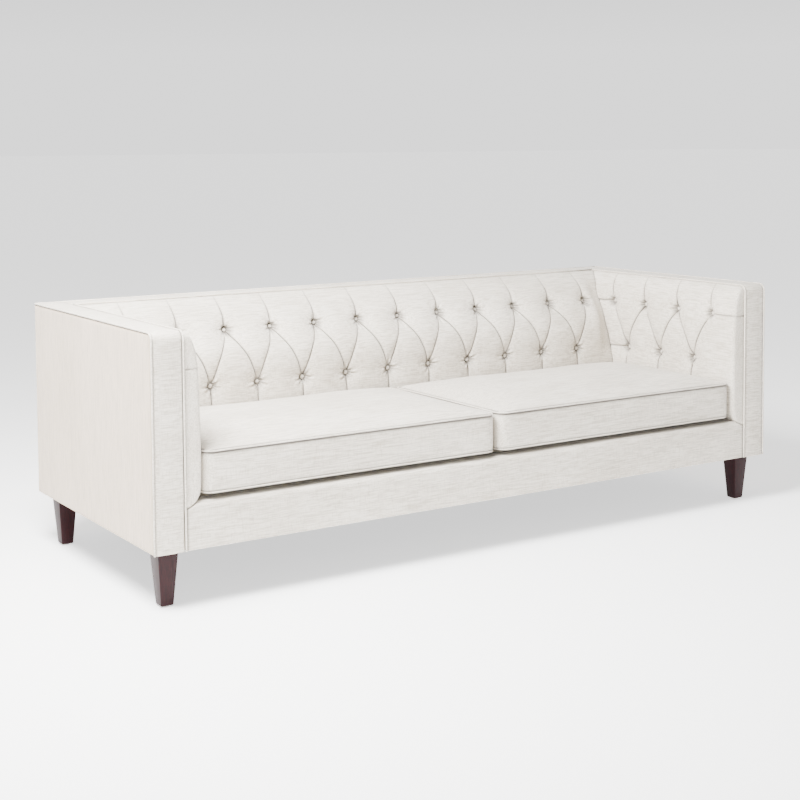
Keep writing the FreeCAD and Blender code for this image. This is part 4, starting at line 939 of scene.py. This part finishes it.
# Legs
def leg(name, node, x, y):
    """A square leg, tapered on all four sides, with eased arrises and a chamfered foot."""
    bm = bmesh.new()
    bmesh.ops.create_cube(bm, size=1)
    for v in bm.verts:
        half, z = (30.5, 163) if v.co.z > 0 else (18.5, 3)
        v.co = (x + math.copysign(half, v.co.x), y + math.copysign(half, v.co.y), z)
    foot = [e for e in bm.edges if all(v.co.z < 10 for v in e.verts)]
    bmesh.ops.bevel(bm, geom=foot, offset=3, segments=1, affect="EDGES", profile=0.5, material=-1)
    arrises = [e for e in bm.edges if abs(e.verts[0].co.z - e.verts[1].co.z) > 100]
    bmesh.ops.bevel(bm, geom=arrises, offset=1.6, segments=3, affect="EDGES", profile=0.5, material=-1)
    finish_piece(bm, name, [node], "frame", beech, crease=25)


def legs():
    for end, y in (("front", -374.5), ("rear", 380.5)):
        for word, side in SIDES:
            leg(f"{end}_{word}_tapered_leg", f"{end}_{word}_leg", side * 1083.5, y)


# Under the cushions and under the frame
def deck():
    """Deck cloth over insulator, flat under the cushions and eased at its edges."""
    bm = bmesh.new()
    bmesh.ops.create_grid(bm, x_segments=200, y_segments=70, size=0.5)
    width, depth = 1998, 697.6
    for v in bm.verts:
        s, t = v.co.x * width, (v.co.y + 0.5) * depth
        edge = min(width / 2 - abs(s), t + 30, depth - t)
        z = 293.6 + 1.6 * ease(edge / 14) + ripple(s, t, 0, 45, 0.9) * ease(edge / 40)
        v.co = (s, -398.3 + t, z)
    close_behind(bm, lambda co: Vector((co.x, co.y, 278.4)))
    pad = finish_piece(bm, "seat_deck_cloth", ["deck_pad"], "frame", deck_cloth)


def dust_cover():
    """Cambric stapled tight under the frame."""
    low, high = (Vector(corner) * 1000 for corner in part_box("dust_cover"))
    middle, size = (low + high) / 2, high - low
    bm = bmesh.new()
    bmesh.ops.create_grid(bm, x_segments=160, y_segments=60, size=0.5)
    for v in bm.verts:
        v.co = (middle.x + v.co.x * size.x, middle.y + v.co.y * size.y,
                162.4 + ripple(v.co.x * 2200, v.co.y * 900, 3, 130, 0.5))
    bmesh.ops.solidify(bm, geom=bm.faces[:] + bm.edges[:] + bm.verts[:], thickness=0.8)
    cover = finish_piece(bm, "dust_cover_cambric", ["dust_cover"], "frame", cambric)


def carried_over():
    """Finishes of the parts that keep their CAD shape."""
    finishes = (
        (frame_wood, "back_bottom_rail back_top_rail back_uprights corner_blocks front_rail seat_stretcher "
                     "spring_rail"),
        (spring_steel, "leg_bolts leg_nuts sinuous_springs spring_clips"),
        (jute, "back_webbing"), (nylon, "leg_glides"))
    for material, names in finishes:
        for name in names.split():
            dress(name, material)
    for word, _side in SIDES:
        for part in ("arm_backing", "arm_top_rail", "front_post", "rear_post", "side_rail"):
            dress(f"{word}_{part}", frame_wood)
        dress(f"{word}_cushion_zip", zip_tape)
        dress(f"{word}_zip_slider", zinc)


def dress(name, material):
    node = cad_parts[name]
    if not node.material_slots:
        node.data.materials.append(material)
    for place in node.material_slots:
        place.material = material


photo_camera()
studio()
for word, side in SIDES:
    arm_band(word, side)
back_band()
frame_welts()
outside_panels()
front_border()
back_pad()
for word, side in SIDES:
    arm_pad(word, side)
buttons()
for word, side in SIDES:
    seat_cushion(word, side)
    foam_core(word, side)
legs()
deck()
dust_cover()
carried_over()
